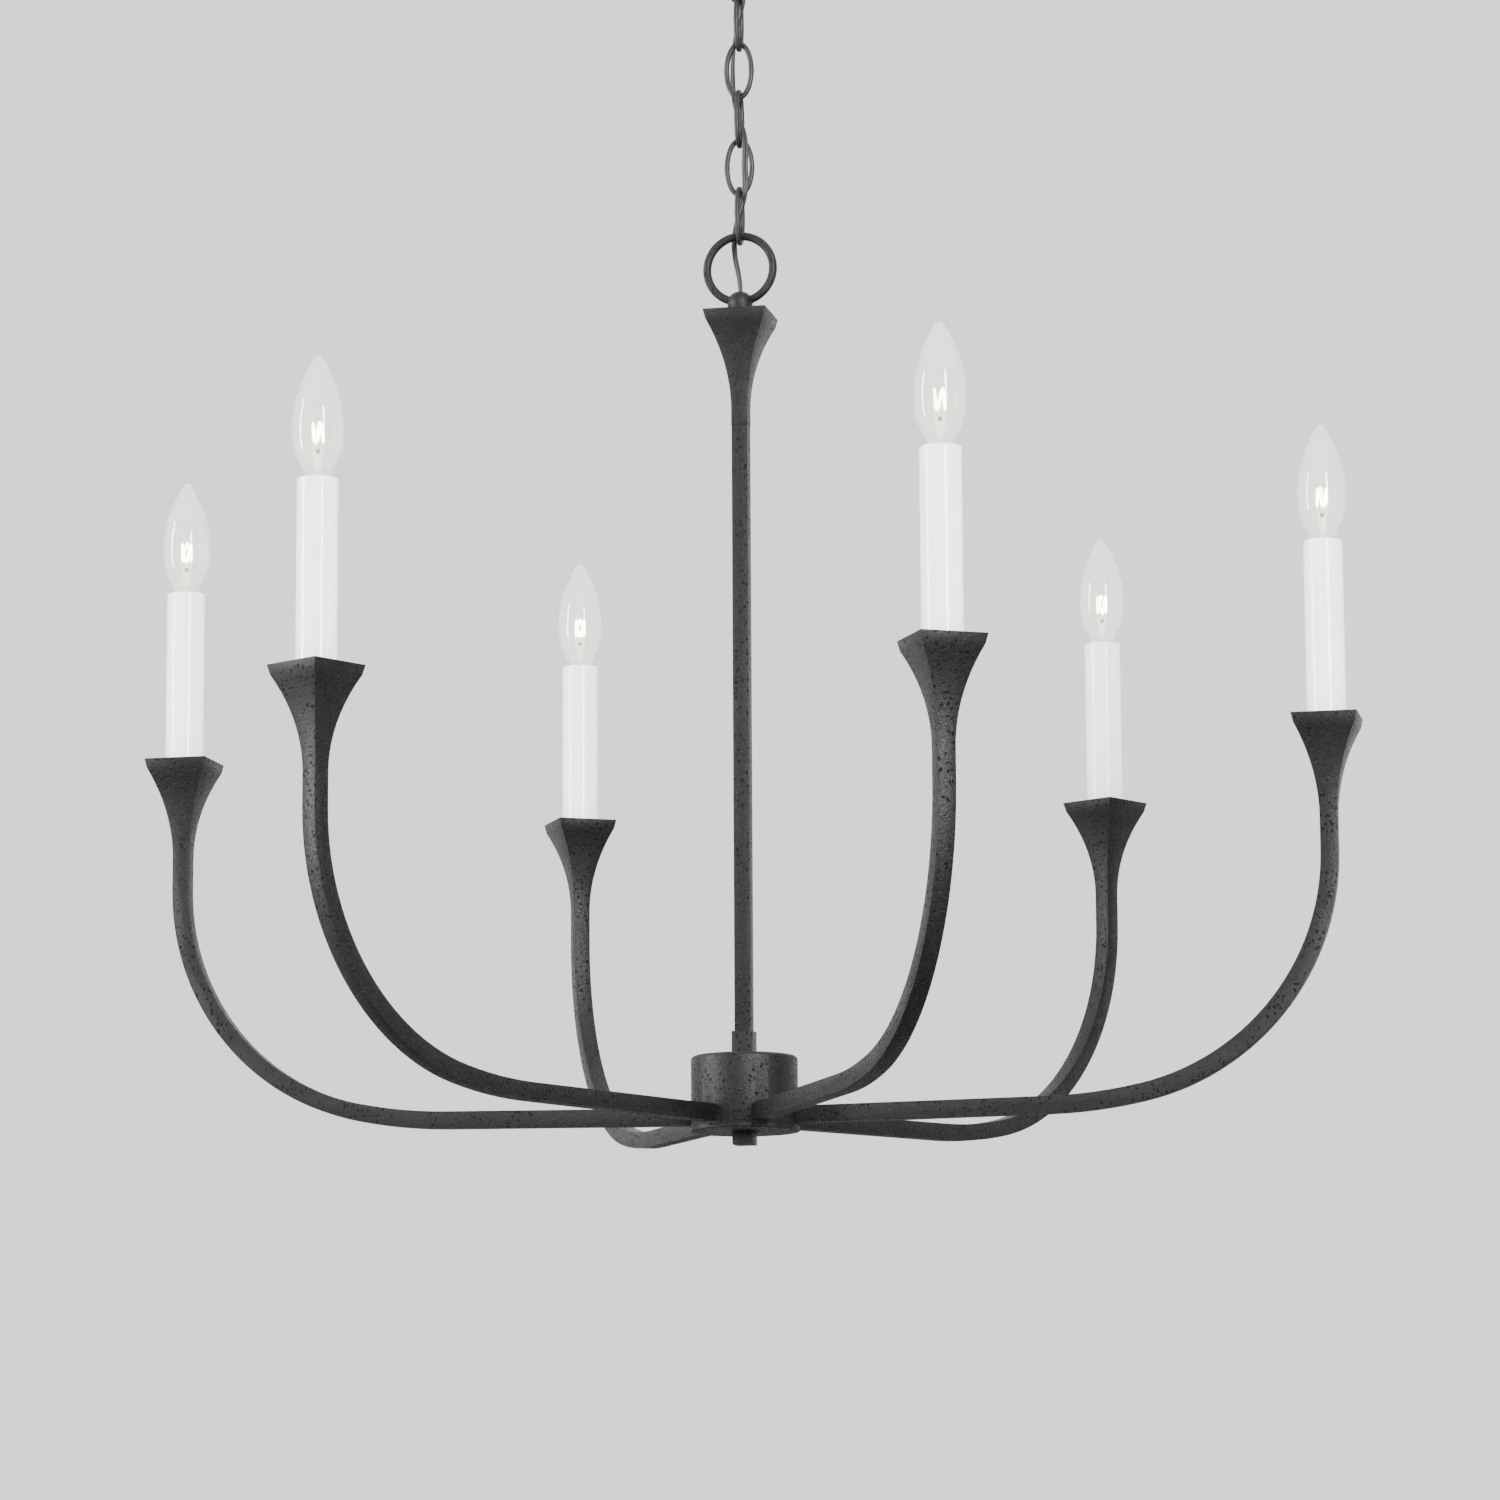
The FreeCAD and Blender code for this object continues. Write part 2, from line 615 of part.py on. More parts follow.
def canopy_nipple():
    """Lamp pipe from the loop through the strap and into the outlet box."""
    low_z = LOOP_CUP_Z + LOOP_FLOOR_T
    return rod(PIPE_R, low_z, 6.5).cut(rod(PIPE_BORE_R, low_z - 1, 8))


def nipple_locknuts():
    """Hex nuts above and below the strap."""
    bore = rod(PIPE_R, -10, 10)
    lower = hexagon(14.0, -STRAP_T - 3.0, -STRAP_T).cut(bore)
    upper = hexagon(14.0, 0, 3.0).cut(bore)
    return Part.makeCompound([lower, upper])


def ceiling_strap():
    """Flat steel strap with a centre hole, two slots and a ground-screw hole."""
    half_w = STRAP_W / 2
    half_l = STRAP_L / 2 - half_w
    strap = Part.makeBox(2 * half_l, STRAP_W, STRAP_T, V(-half_l, -half_w, -STRAP_T))
    holes = [rod(PIPE_R, -5, 5), rod(2.0, -5, 5, GROUND_SCREW_X)]
    ends = []
    for side in (-1, 1):
        ends.append(rod(half_w, -STRAP_T, 0, side * half_l))
        middle = side * BOX_SCREW_SPACING / 2
        straight = SLOT_L / 2 - SLOT_R
        holes.append(Part.makeBox(2 * straight, 2 * SLOT_R, 10,
                                  V(middle - straight, -SLOT_R, -5)))
        holes.append(rod(SLOT_R, -5, 5, middle - straight))
        holes.append(rod(SLOT_R, -5, 5, middle + straight))
    return strap.fuse(ends).removeSplitter().cut(holes)


def ground_screw():
    """Hex-washer ground screw under the strap."""
    head = moved(hexagon(6.4, -STRAP_T - 3.4, -STRAP_T - 1.0), GROUND_SCREW_X, 0, 0)
    flange = rod(4.6, -STRAP_T - 1.0, -STRAP_T, GROUND_SCREW_X)
    shank = rod(2.0, -STRAP_T, 4.0, GROUND_SCREW_X)
    return head.fuse([flange, shank]).removeSplitter()


def ring_nut():
    """Round nut that holds the canopy up on the loop's thread."""
    top_z = RING_NUT_Z + RING_NUT_H
    return lathe((RING_NUT_BORE_R, RING_NUT_Z), (RING_NUT_R - 1.5, RING_NUT_Z),
                 (RING_NUT_R, RING_NUT_Z + 1.5), (RING_NUT_R, top_z - 1.0),
                 (RING_NUT_R - 1.0, top_z), (RING_NUT_BORE_R, top_z))


def canopy():
    """Spun steel canopy: flat bottom, rounded shoulder and a straight rim."""
    low_z = RING_NUT_Z + RING_NUT_H
    high_z = -GAP
    flat_r = 24.0
    rim_h = 5.0
    inset = CANOPY_T
    foot = (CANOPY_R, high_z - rim_h)
    inner_foot = (CANOPY_R - inset, high_z - rim_h)
    shoulder = (52.0, low_z + 9.0)
    inner_shoulder = (51.4, low_z + 10.1)
    return lathe((CANOPY_HOLE_R, low_z), (flat_r, low_z),
                 ((39.5, low_z + 2.6), shoulder),
                 ((60.2, low_z + 14.6), foot), (CANOPY_R, high_z),
                 (CANOPY_R - inset, high_z), inner_foot,
                 ((59.2, low_z + 15.2), inner_shoulder),
                 ((39.2, low_z + 3.8), (flat_r, low_z + inset)),
                 (CANOPY_HOLE_R, low_z + inset))


# ---------------------------------------------------------------- assembly
def all_parts():
    """Every node of the lamp, by name."""
    parts = {
        "ceiling_strap": ceiling_strap(),
        "ground_screw": ground_screw(),
        "canopy_nipple": canopy_nipple(),
        "nipple_locknuts": nipple_locknuts(),
        "canopy_loop": canopy_loop(),
        "canopy": canopy(),
        "ring_nut": ring_nut(),
        "hanging_ring": hanging_ring(),
        "stem_cap": stem_cap(),
        "stem_tube": stem_tube(),
        "stem_collar": stem_collar(),
        "hub_body": hub_body(),
        "centre_rod": centre_rod(),
        "rod_locknut": rod_locknut(),
        "arm_locknuts": arm_locknuts(),
        "wire_connectors": wire_connectors(),
        "socket_leads": socket_leads(),
        "hub_cover": hub_cover(),
        "finial": finial(),
        "lamp_cord_upper": tube_along("lamp_cord_upper", UPPER_ROUTE, CORD_R),
        "lamp_cord_lower": tube_along("lamp_cord_lower", LOWER_ROUTE, CORD_R),
    }
    for number in range(1, LINK_COUNT + 1):
        side_on = number % 2 == 0
        parts[f"chain_link_{number}"] = chain_link(link_centre(number), side_on)
    per_arm = {
        "arm": arm(),
        "lamp_socket": lamp_socket(),
        "candle_sleeve": candle_sleeve(),
        "bulb_glass": bulb_glass(),
        "bulb_base": bulb_base(),
    }
    post = socket_post()
    posts = []
    for number, angle in enumerate(arm_angles(), start=1):
        for name, shape in per_arm.items():
            parts[f"{name}_{number}"] = turned(shape, angle)
        posts.append(turned(post, angle))
    parts["socket_posts"] = Part.makeCompound(posts)
    return parts


def main():
    os.makedirs("parts", exist_ok=True)
    parts = all_parts()
    for name, shape in parts.items():
        shape.exportStep(f"parts/{name}.step")
        if not shape.isValid():
            print("NOT VALID", name)
    box = Part.makeCompound(list(parts.values())).BoundBox
    print(f"{len(parts)} nodes, {box.XLength:.1f} x {box.YLength:.1f} x {box.ZLength:.1f},",
          f"Z {box.ZMin:.1f} to {box.ZMax:.1f}")


main()
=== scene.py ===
# %% [markdown]
# # A six-arm iron chandelier
#
# A round hub carries six square iron arms. Each sweeps out and up to a flared
# square cup, which holds a candle tube and a clear pointed bulb. A square stem,
# a ring and a chain hang the hub from a ceiling canopy, and the lamp cord winds
# down through the chain.
#
# The solid model is loaded first. It fixes every size and place, in metres, with
# Z = 0 at the ceiling. The cells after it add the camera, the cords, the
# finishes, the softened edges, and the small things inside the bulbs.

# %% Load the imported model
import json
import math
import bmesh
import bpy
from mathutils import Matrix, Vector
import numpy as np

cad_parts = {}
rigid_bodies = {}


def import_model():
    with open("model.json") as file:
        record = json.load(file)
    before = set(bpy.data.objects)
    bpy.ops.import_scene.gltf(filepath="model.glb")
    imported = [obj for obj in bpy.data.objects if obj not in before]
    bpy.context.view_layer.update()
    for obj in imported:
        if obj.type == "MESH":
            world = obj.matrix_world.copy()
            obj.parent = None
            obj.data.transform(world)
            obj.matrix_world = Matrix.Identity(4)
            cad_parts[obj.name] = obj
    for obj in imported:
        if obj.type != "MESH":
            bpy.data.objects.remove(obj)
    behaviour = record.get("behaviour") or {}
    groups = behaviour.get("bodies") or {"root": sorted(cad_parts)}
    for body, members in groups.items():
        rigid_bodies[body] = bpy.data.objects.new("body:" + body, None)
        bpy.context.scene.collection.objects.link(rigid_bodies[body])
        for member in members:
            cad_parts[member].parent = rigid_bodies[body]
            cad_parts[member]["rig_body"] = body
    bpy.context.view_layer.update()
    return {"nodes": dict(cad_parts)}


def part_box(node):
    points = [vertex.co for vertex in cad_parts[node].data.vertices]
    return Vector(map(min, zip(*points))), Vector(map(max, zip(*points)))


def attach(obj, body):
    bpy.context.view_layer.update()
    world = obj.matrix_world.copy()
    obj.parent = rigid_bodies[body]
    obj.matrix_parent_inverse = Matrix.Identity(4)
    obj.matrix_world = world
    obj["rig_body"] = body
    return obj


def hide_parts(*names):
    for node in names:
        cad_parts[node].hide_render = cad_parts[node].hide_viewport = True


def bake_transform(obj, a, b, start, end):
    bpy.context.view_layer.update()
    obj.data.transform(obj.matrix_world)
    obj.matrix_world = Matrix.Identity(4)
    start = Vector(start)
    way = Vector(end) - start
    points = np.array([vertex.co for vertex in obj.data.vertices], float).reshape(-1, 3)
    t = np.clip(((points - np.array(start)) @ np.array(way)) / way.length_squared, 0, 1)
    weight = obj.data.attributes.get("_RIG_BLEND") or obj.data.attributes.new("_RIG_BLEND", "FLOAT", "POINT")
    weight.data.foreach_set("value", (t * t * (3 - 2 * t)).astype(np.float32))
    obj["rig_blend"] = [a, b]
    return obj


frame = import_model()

MM = 0.001
ARM_COUNT = 6

# %% [markdown]
# ## Three small helpers
#
# Colours are easiest to compare as hex codes, but a shader works in linear
# light, so one function turns a code into linear values. Materials and Geometry
# Nodes are both node trees, so one other function adds a node to either kind:
# its settings are Python keywords, and its inputs are values or other nodes'
# outputs. A third puts a new object in the scene, where it can be seen.


# %% Colour and node helpers
def linear(code):
    """Linear RGBA of an sRGB hex code."""
    channels = [int(code[i:i + 2], 16) / 255 for i in (1, 3, 5)]
    return (*(c / 12.92 if c <= 0.04045 else ((c + 0.055) / 1.055) ** 2.4
              for c in channels), 1.0)


def add_node(tree, kind, inputs=None, **settings):
    """Adds a node, sets it up, and gives each named input a value or a link."""
    node = tree.nodes.new(kind)
    for name, value in settings.items():
        setattr(node, name, value)
    for key, value in (inputs or {}).items():
        if isinstance(value, bpy.types.NodeSocket):
            tree.links.new(value, node.inputs[key])
        else:
            node.inputs[key].default_value = value
    return node


def show(piece):
    """Puts a new object in the scene."""
    bpy.context.scene.collection.objects.link(piece)
    return piece


print("white is", linear("#ffffff"))

# %% [markdown]
# ## The camera
#
# The lamp is seen from below its hub, from a little over three metres off, with a
# long lens, which keeps the near and far arms close to the same size. The camera
# is turned 12 degrees about the lamp, tipped up about 9 degrees, and leans a
# third of a degree. Three turns, one after another, say that more plainly than
# three Euler angles.

# %% Place the camera
HEADING = math.radians(12.0)
PITCH = math.radians(9.296)
LEAN = math.radians(-0.32)
SENSOR_MM, LENS_MM = 36.0, 126.8
CAMERA_AT = (0.6762, -3.1593, -1.0985)
camera_data = bpy.data.cameras.new("camera")
camera_data.sensor_width = SENSOR_MM
camera_data.lens = LENS_MM
camera = show(bpy.data.objects.new("camera", camera_data))
turn = Matrix.Rotation(HEADING, 4, "Z") @ Matrix.Rotation(math.pi / 2 + PITCH, 4, "X")
camera.matrix_world = (Matrix.Translation(CAMERA_AT)
                       @ turn @ Matrix.Rotation(LEAN, 4, "Z"))
bpy.context.scene.camera = camera
print("camera is", round(camera.location.length, 2), "m from the ceiling strap")

# %% [markdown]
# ## The lamp cord
#
# The cord is a flat twin flex: two round conductors moulded side by side, 4 mm
# wide and a little over 2 mm thick. It leaves the canopy loop, winds down
# through the chain, and enters the top of the boss under the ring. It is limp,
# but the chain holds it all the way.
#
# Its line is a NURBS curve on a few listed points. A curve's own bevel could
# give a figure of eight that twists slowly, but only with a second curve as its
# profile and a tilt set by hand at each point. Here the curve is read as points,
# and a ring of vertices is set at each. Every point's frame comes from the one
# before it, so the section turns no more than the line does, and a slow twist is
# added on purpose.
#
# It is made in two lengths, which meet in the third link, because one bends
# where the chain hangs from the ceiling and the other where the lamp hangs from
# the chain.

# %% Where the chain and the cord run
LINKS = sorted((name for name in frame["nodes"] if name.startswith("chain_link")),
               key=lambda name: -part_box(name)[0].z)
link_z = [sum(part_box(name), Vector()).z / 2 for name in LINKS]
meet_z = [None] + [(a + b) / 2 for a, b in zip(link_z, link_z[1:])]
LOOP_WIRE_R, LOOP_R, LOOP_TO_CUP = 2.0 * MM, 10.5 * MM, 20.1 * MM
RING_WIRE_R, RING_R = 2.6 * MM, 21.15 * MM
LOOP_HANG_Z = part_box("canopy_loop")[0].z + LOOP_WIRE_R
RING_HANG_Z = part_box("hanging_ring")[1].z - RING_WIRE_R
CUP_FLOOR_Z = LOOP_HANG_Z + LOOP_TO_CUP
LOOP_MID_Z = LOOP_HANG_Z + LOOP_R
RING_MID_Z = RING_HANG_Z - RING_R
CAP_TOP_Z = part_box("stem_cap")[1].z
print("links every", round((link_z[0] - link_z[1]) / MM, 2), "mm")

# %% The cord's route
OUT = 5.2 * MM
UPPER_ROUTE = [
    (0.0, 0.0, CUP_FLOOR_Z + 0.0140),
    (0.0001, -0.0002, CUP_FLOOR_Z + 0.0010),
    (0.0023, -0.0042, LOOP_MID_Z - 0.0025),
    (0.0054, -0.0050, LOOP_MID_Z - 0.0140),
    (0.0047, -0.0046, link_z[0]),
    (OUT, -OUT, meet_z[1]),
    (0.0003, -0.0007, link_z[1]),
    (-OUT, OUT - 0.0002, meet_z[2]),
    (-OUT, OUT - 0.0001, link_z[2]),
]
LOWER_ROUTE = [
    (-OUT, OUT - 0.0001, link_z[2]),
    (-OUT, OUT, meet_z[3]),
    (0.0002, -0.0003, link_z[3]),
    (OUT, -OUT + 0.0001, meet_z[4]),
    (0.0042, -0.0045, link_z[4]),
    (OUT, -OUT, meet_z[5]),
    (-0.0003, 0.0004, link_z[5] + 0.0010),
    (-0.0053, 0.0068, RING_HANG_Z + 0.0020),
    (-0.0045, 0.0054, RING_MID_Z + 0.0090),
    (-0.0012, 0.0017, RING_MID_Z - 0.0030),
    (0.0003, 0.0001, CAP_TOP_Z + 0.0160),
    (0.0, 0.0001, CAP_TOP_Z + 0.0080),
    (0.00005, 0.0001, CAP_TOP_Z + 0.0010),
]
print(len(UPPER_ROUTE), "and", len(LOWER_ROUTE), "points")


# %% Read a smooth line from a route
def smooth_line(route):
    """Points along the NURBS curve that a route's points control."""
    curve = bpy.data.curves.new("cord_route", "CURVE")
    curve.dimensions = "3D"
    curve.resolution_u = 12
    spline = curve.splines.new("NURBS")
    spline.points.add(len(route) - 1)
    for point, place in zip(spline.points, route):
        point.co = (*place, 1.0)
    spline.order_u = 3
    spline.use_endpoint_u = True
    holder = bpy.data.objects.new("cord_route", curve)
    mesh = bpy.data.meshes.new_from_object(holder)
    line = [vertex.co.copy() for vertex in mesh.vertices]
    bpy.data.objects.remove(holder)
    bpy.data.meshes.remove(mesh)
    return line


def line_length(line):
    """Length of a line of points."""
    return sum((b - a).length for a, b in zip(line, line[1:]))


print("upper line", round(line_length(smooth_line(UPPER_ROUTE)) / MM, 1), "mm")


# %% Sweep the twin flex along it
CORD_WIDTH = 4.0 * MM
CORD_THICK = 2.3 * MM
CORD_WAIST = math.radians(38)
TWIST_PER_M = math.radians(900)


def twin_section(steps=10):
    """Outline of two joined round conductors, as (across, through) points."""
    radius = CORD_THICK / 2
    offset = CORD_WIDTH / 2 - radius
    reach = math.pi - CORD_WAIST
    outline = []
    for side in (1, -1):
        for k in range(steps + 1):
            angle = -reach + 2 * reach * k / steps
            outline.append((side * (offset + radius * math.cos(angle)),
                            side * radius * math.sin(angle)))
    return outline


def flex(name, line, section, first_twist=0.0):
    """A twisting mesh tube along a line, closed at both ends."""
    tube = bmesh.new()
    side = Vector((1, 0, 0))
    walked = 0.0
    rings = []
    for k, place in enumerate(line):
        ahead = (line[min(k + 1, len(line) - 1)] - line[max(k - 1, 0)]).normalized()
        side = (side - ahead * side.dot(ahead)).normalized()
        walked += (place - line[max(k - 1, 0)]).length
        turn = Matrix.Rotation(first_twist + walked * TWIST_PER_M, 3, ahead)
        across = turn @ side
        through = ahead.cross(across)
        rings.append([tube.verts.new(place + across * u + through * v)
                      for u, v in section])
    for low, high in zip(rings, rings[1:]):
        for k in range(len(section)):
            n = (k + 1) % len(section)
            tube.faces.new((low[k], low[n], high[n], high[k]))
    tube.faces.new(rings[0][::-1])
    tube.faces.new(rings[-1])
    bmesh.ops.recalc_face_normals(tube, faces=tube.faces)
    mesh = bpy.data.meshes.new(name)
    tube.to_mesh(mesh)
    tube.free()
    mesh.set_sharp_from_angle(angle=math.radians(50))
    return show(bpy.data.objects.new(name, mesh))


upper_line = smooth_line(UPPER_ROUTE)
lower_line = smooth_line(LOWER_ROUTE)
upper_twist = line_length(upper_line) * TWIST_PER_M
cords = {"lamp_cord_upper": flex("cord_above", upper_line, twin_section()),
         "lamp_cord_lower": flex("cord_below", lower_line, twin_section(), upper_twist)}
for name, cord in cords.items():
    print(cord.name, len(cord.data.polygons), "faces")

# %% [markdown]
#
# The upper length follows the canopy loop at its top and the chain below it.
# The lower length follows the chain at its top and the boss at its foot. Between
# the two places a blend turns it smoothly, as the real cord would.

# %% Declare and blend
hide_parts("lamp_cord_upper")
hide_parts("lamp_cord_lower")
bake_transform(cords["lamp_cord_upper"], "ceiling", "chain",
         start=(0, 0, CUP_FLOOR_Z), end=(0, 0, link_z[1]))
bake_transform(cords["lamp_cord_lower"], "chain", "fixture",
         start=(0, 0, link_z[4]), end=(0, 0, CAP_TOP_Z + 0.004))
print("cord lengths", round(line_length(upper_line), 4),
      "and", round(line_length(lower_line), 4), "m")

# %% [markdown]
# ## The room
#
# A hanging lamp needs little: a pale floor far below, a round pale wall that
# rises from it in one curve, and soft light. One outline is spun into both, so
# no corner shows behind the lamp from any side.


# %% Spin an outline into a surface
def spun(name, outline, steps=96):
    """Surface of revolution about Z, from (radius, height) points."""
    shell = bmesh.new()
    rings = []
    for radius, height in outline:
        if radius < 1e-7:
            rings.append([shell.verts.new((0, 0, height))] * steps)
            continue
        rings.append([shell.verts.new((radius * math.cos(math.tau * k / steps),
                                       radius * math.sin(math.tau * k / steps), height))
                      for k in range(steps)])
    for low, high in zip(rings, rings[1:]):
        for k in range(steps):
            n = (k + 1) % steps
            corners = [low[k], low[n], high[n], high[k]]
            shell.faces.new(list(dict.fromkeys(corners)))
    mesh = bpy.data.meshes.new(name)
    shell.to_mesh(mesh)
    shell.free()
    mesh.set_sharp_from_angle(angle=math.radians(40))
    return show(bpy.data.objects.new(name, mesh))


def arc(centre, radius, start_deg, end_deg, steps=12):
    """(radius, height) points along an arc."""
    angles = [math.radians(start_deg + (end_deg - start_deg) * k / steps)
              for k in range(steps + 1)]
    return [(centre[0] + radius * math.cos(a), centre[1] + radius * math.sin(a))
            for a in angles]


FLOOR_Z = -2.45
WALL_R = 8.0
WALL_TOP_Z = 5.0
COVE_R = 2.0
outline = [(0.0, FLOOR_Z), (WALL_R - COVE_R, FLOOR_Z)]
outline += arc((WALL_R - COVE_R, FLOOR_Z + COVE_R), COVE_R, -90, 0)[1:]
outline += [(WALL_R, WALL_TOP_Z)]
room = spun("room", outline)

# %% [markdown]
# ## The light
#
# Real daylight reaches such a lamp from a window on one side and off pale walls
# on every other side. A tall soft panel on the left stands for the window and
# gives the candles their upright streak. A narrow one at the front right lays a
# bright band on the round hub, and an even world stands for the walls. Under the
# lamp a wide dim panel lights the arms' undersides, as a pale floor does.
#
# Black metal mostly shows what it reflects. Three dark screens, on the right,
# below and low behind, are seen only in reflections. They give the bars a dark
# side and a dark underside, as the unlit parts of a furnished room do.


# %% Hang the soft panels
LAMP_MIDDLE = Vector((0, 0, -0.5))
WORLD_STRENGTH = 2.1


def soft_panel(name, place, size, power, colour):
    """A rectangular area light aimed at the middle of the lamp."""
    data = bpy.data.lights.new(name, "AREA")
    data.shape = "RECTANGLE"
    data.size, data.size_y = size
    data.energy = power
    data.color = linear(colour)[:3]
    panel = show(bpy.data.objects.new(name, data))
    facing = (LAMP_MIDDLE - Vector(place)).to_track_quat("-Z", "Y")
    panel.matrix_world = Matrix.Translation(place) @ facing.to_matrix().to_4x4()
    panel.visible_camera = False


soft_panel("window_light", (-2.9, -1.5, 0.0), (0.35, 2.5), 220, "#f8fbff")
soft_panel("second_window", (2.2, -3.0, 0.3), (0.5, 2.4), 330, "#f8fbff")
soft_panel("floor_bounce", (0.0, 0.0, -2.3), (3.0, 3.0), 18, "#fffaf2")
world = bpy.data.worlds.new("pale_walls")
world.use_nodes = True
sky = world.node_tree.nodes["Background"]
sky.inputs["Color"].default_value = linear("#f6f5f4")
sky.inputs["Strength"].default_value = WORLD_STRENGTH
bpy.context.scene.world = world


# %% Stand the dark screens
def dark_screen(name, corners):
    """A flat screen that only reflections show."""
    mesh = bpy.data.meshes.new(name)
    mesh.from_pydata(corners, [], [(0, 1, 2, 3)])
    screen = show(bpy.data.objects.new(name, mesh))
    screen.visible_camera = False
    screen.visible_diffuse = False
    screen.visible_transmission = False
    screen.visible_shadow = False
    return screen


screens = [
    dark_screen("screen_right", [(2.3, -2.6, -2.0), (2.9, 1.2, -2.0),
                                 (2.9, 1.2, 1.2), (2.3, -2.6, 1.2)]),
    dark_screen("screen_below", [(-2.2, -2.2, -2.2), (2.2, -2.2, -2.2),
                                 (2.2, 2.2, -2.2), (-2.2, 2.2, -2.2)]),
    dark_screen("screen_behind", [(-3.2, 3.4, -2.4), (3.2, 3.4, -2.4),
                                  (3.2, 3.4, -0.95), (-3.2, 3.4, -0.95)]),
]
print(len(screens), "screens")

# %% [markdown]
# ## How a finish is built
#
# Every finish here starts from one physically based shader. What is the same all
# over goes straight on the shader's sockets. What varies, such as pits, grain
# and wear, comes from noise or cell patterns on object coordinates. Those are
# real metres, so a pattern's scale is one divided by the size that it should
# have, and it stays on the piece when the piece moves.


# %% Start a material
def surface(name, colour, roughness, **constants):
    """A material, its node tree, its shader with constants set, and its coordinates."""
    material = bpy.data.materials.new(name)
    material.use_nodes = True
    tree = material.node_tree
    shader = tree.nodes["Principled BSDF"]
    shader.inputs["Base Color"].default_value = linear(colour)
    shader.inputs["Roughness"].default_value = roughness
    for socket, value in constants.items():
        shader.inputs[socket.replace("_", " ")].default_value = value
    place = add_node(tree, "ShaderNodeTexCoord").outputs["Object"]
    return material, tree, shader, place


print("every finish starts from the Principled shader")

# %% [markdown]
# ## Textured black on cast iron
#
# The arms, cups, stem and hub are iron castings under a black textured powder
# coat. Close up there are three sizes of relief. The coat's own grain gives a
# sparkle where light grazes. It is really about half a millimetre, too fine to
# show on a lamp this wide, so it is drawn at 1.3 mm. Pits left from the casting
# are one to two millimetres wide and stand in clusters. They are painted near
# black, as painted shade for the light that does not reach into them. The faces
# also roll a little over a few centimetres, as hand-dressed castings do. Where
# the coat is thin on the high grains it is a shade greyer.

# %% Textured black iron: where the pits are
GRAIN_SIZE = 1.3 * MM
PIT_SIZE = 3.1 * MM
CLUSTER_SIZE = 30 * MM
ROLL_SIZE = 45 * MM
PIT_WANDER = 1.6 * MM
PIT_FLOOR_R, PIT_RIM_R = 0.16, 0.34  # in pit spacings
# The pits' near-black colour is painted shade for the light that cannot reach into them.
PIT_SHADE_COLOUR = "#020202"
COAT_DARK, COAT_LIGHT = "#090909", "#1c1c1d"
iron, tree, shader, place = surface("textured_black_iron", COAT_DARK, 0.5,
                                    Specular_IOR_Level=0.22)
wander = add_node(tree, "ShaderNodeTexNoise",
                  {"Vector": place, "Scale": 1 / PIT_SIZE, "Detail": 2.0})
shift = add_node(tree, "ShaderNodeVectorMath",
                 {0: wander.outputs["Color"], "Scale": PIT_WANDER}, operation="SCALE")
bent = add_node(tree, "ShaderNodeVectorMath", {0: place, 1: shift.outputs[0]})
cells = add_node(tree, "ShaderNodeTexVoronoi",
                 {"Vector": bent.outputs[0], "Scale": 1 / PIT_SIZE, "Randomness": 1.0})
hole = add_node(tree, "ShaderNodeMapRange",
                {"Value": cells.outputs["Distance"], "From Min": PIT_FLOOR_R,
                 "From Max": PIT_RIM_R, "To Min": 1.0, "To Max": 0.0},
                interpolation_type="SMOOTHSTEP")
patches = add_node(tree, "ShaderNodeTexNoise",
                   {"Vector": place, "Scale": 1 / CLUSTER_SIZE, "Detail": 4.0,
                    "Roughness": 0.6})
chosen = add_node(tree, "ShaderNodeMapRange",
                  {"Value": patches.outputs["Fac"], "From Min": 0.38, "From Max": 0.54})
lucky = add_node(tree, "ShaderNodeSeparateColor", {0: cells.outputs["Color"]})
some = add_node(tree, "ShaderNodeMapRange",
                {"Value": lucky.outputs[0], "From Min": 0.15, "From Max": 0.3})
clusters = add_node(tree, "ShaderNodeMath", {0: hole.outputs[0], 1: chosen.outputs[0]},
                    operation="MULTIPLY")
pits = add_node(tree, "ShaderNodeMath", {0: clusters.outputs[0], 1: some.outputs[0]},
                operation="MULTIPLY")
print("pits stand about", round(PIT_SIZE / MM, 1), "mm apart")

# %% Textured black iron: its relief, colour and gloss
IRON_RELIEF = 1.0 * MM
GRAIN_SHARE, ROLL_SHARE = 0.4, 0.6
PIT_ROUGHENS = 0.35
grain = add_node(tree, "ShaderNodeTexNoise",
                 {"Vector": place, "Scale": 1 / GRAIN_SIZE, "Detail": 3.0,
                  "Roughness": 0.65})
roll = add_node(tree, "ShaderNodeTexNoise",
                {"Vector": place, "Scale": 1 / ROLL_SIZE, "Detail": 1.0})
coat = add_node(tree, "ShaderNodeMath", {0: grain.outputs["Fac"], 1: GRAIN_SHARE},
                operation="MULTIPLY")
waves = add_node(tree, "ShaderNodeMath",
                 {0: roll.outputs["Fac"], 1: ROLL_SHARE, 2: coat.outputs[0]},
                 operation="MULTIPLY_ADD")
height = add_node(tree, "ShaderNodeMath", {0: waves.outputs[0], 1: pits.outputs[0]},
                  operation="SUBTRACT")
bump = add_node(tree, "ShaderNodeBump",
                {"Height": height.outputs[0], "Distance": IRON_RELIEF})
tree.links.new(bump.outputs["Normal"], shader.inputs["Normal"])
thin = add_node(tree, "ShaderNodeMapRange",
                {"Value": grain.outputs["Fac"], "From Min": 0.42, "From Max": 0.66})
bare = add_node(tree, "ShaderNodeMix",
                {"Factor": thin.outputs[0], 6: linear(COAT_DARK),
                 7: linear(COAT_LIGHT)}, data_type="RGBA")
# Inside the pits the coat is painted near black, as painted shade.
colour = add_node(tree, "ShaderNodeMix",
                  {"Factor": pits.outputs[0], 6: bare.outputs[2],
                   7: linear(PIT_SHADE_COLOUR)}, data_type="RGBA")
tree.links.new(colour.outputs[2], shader.inputs["Base Color"])
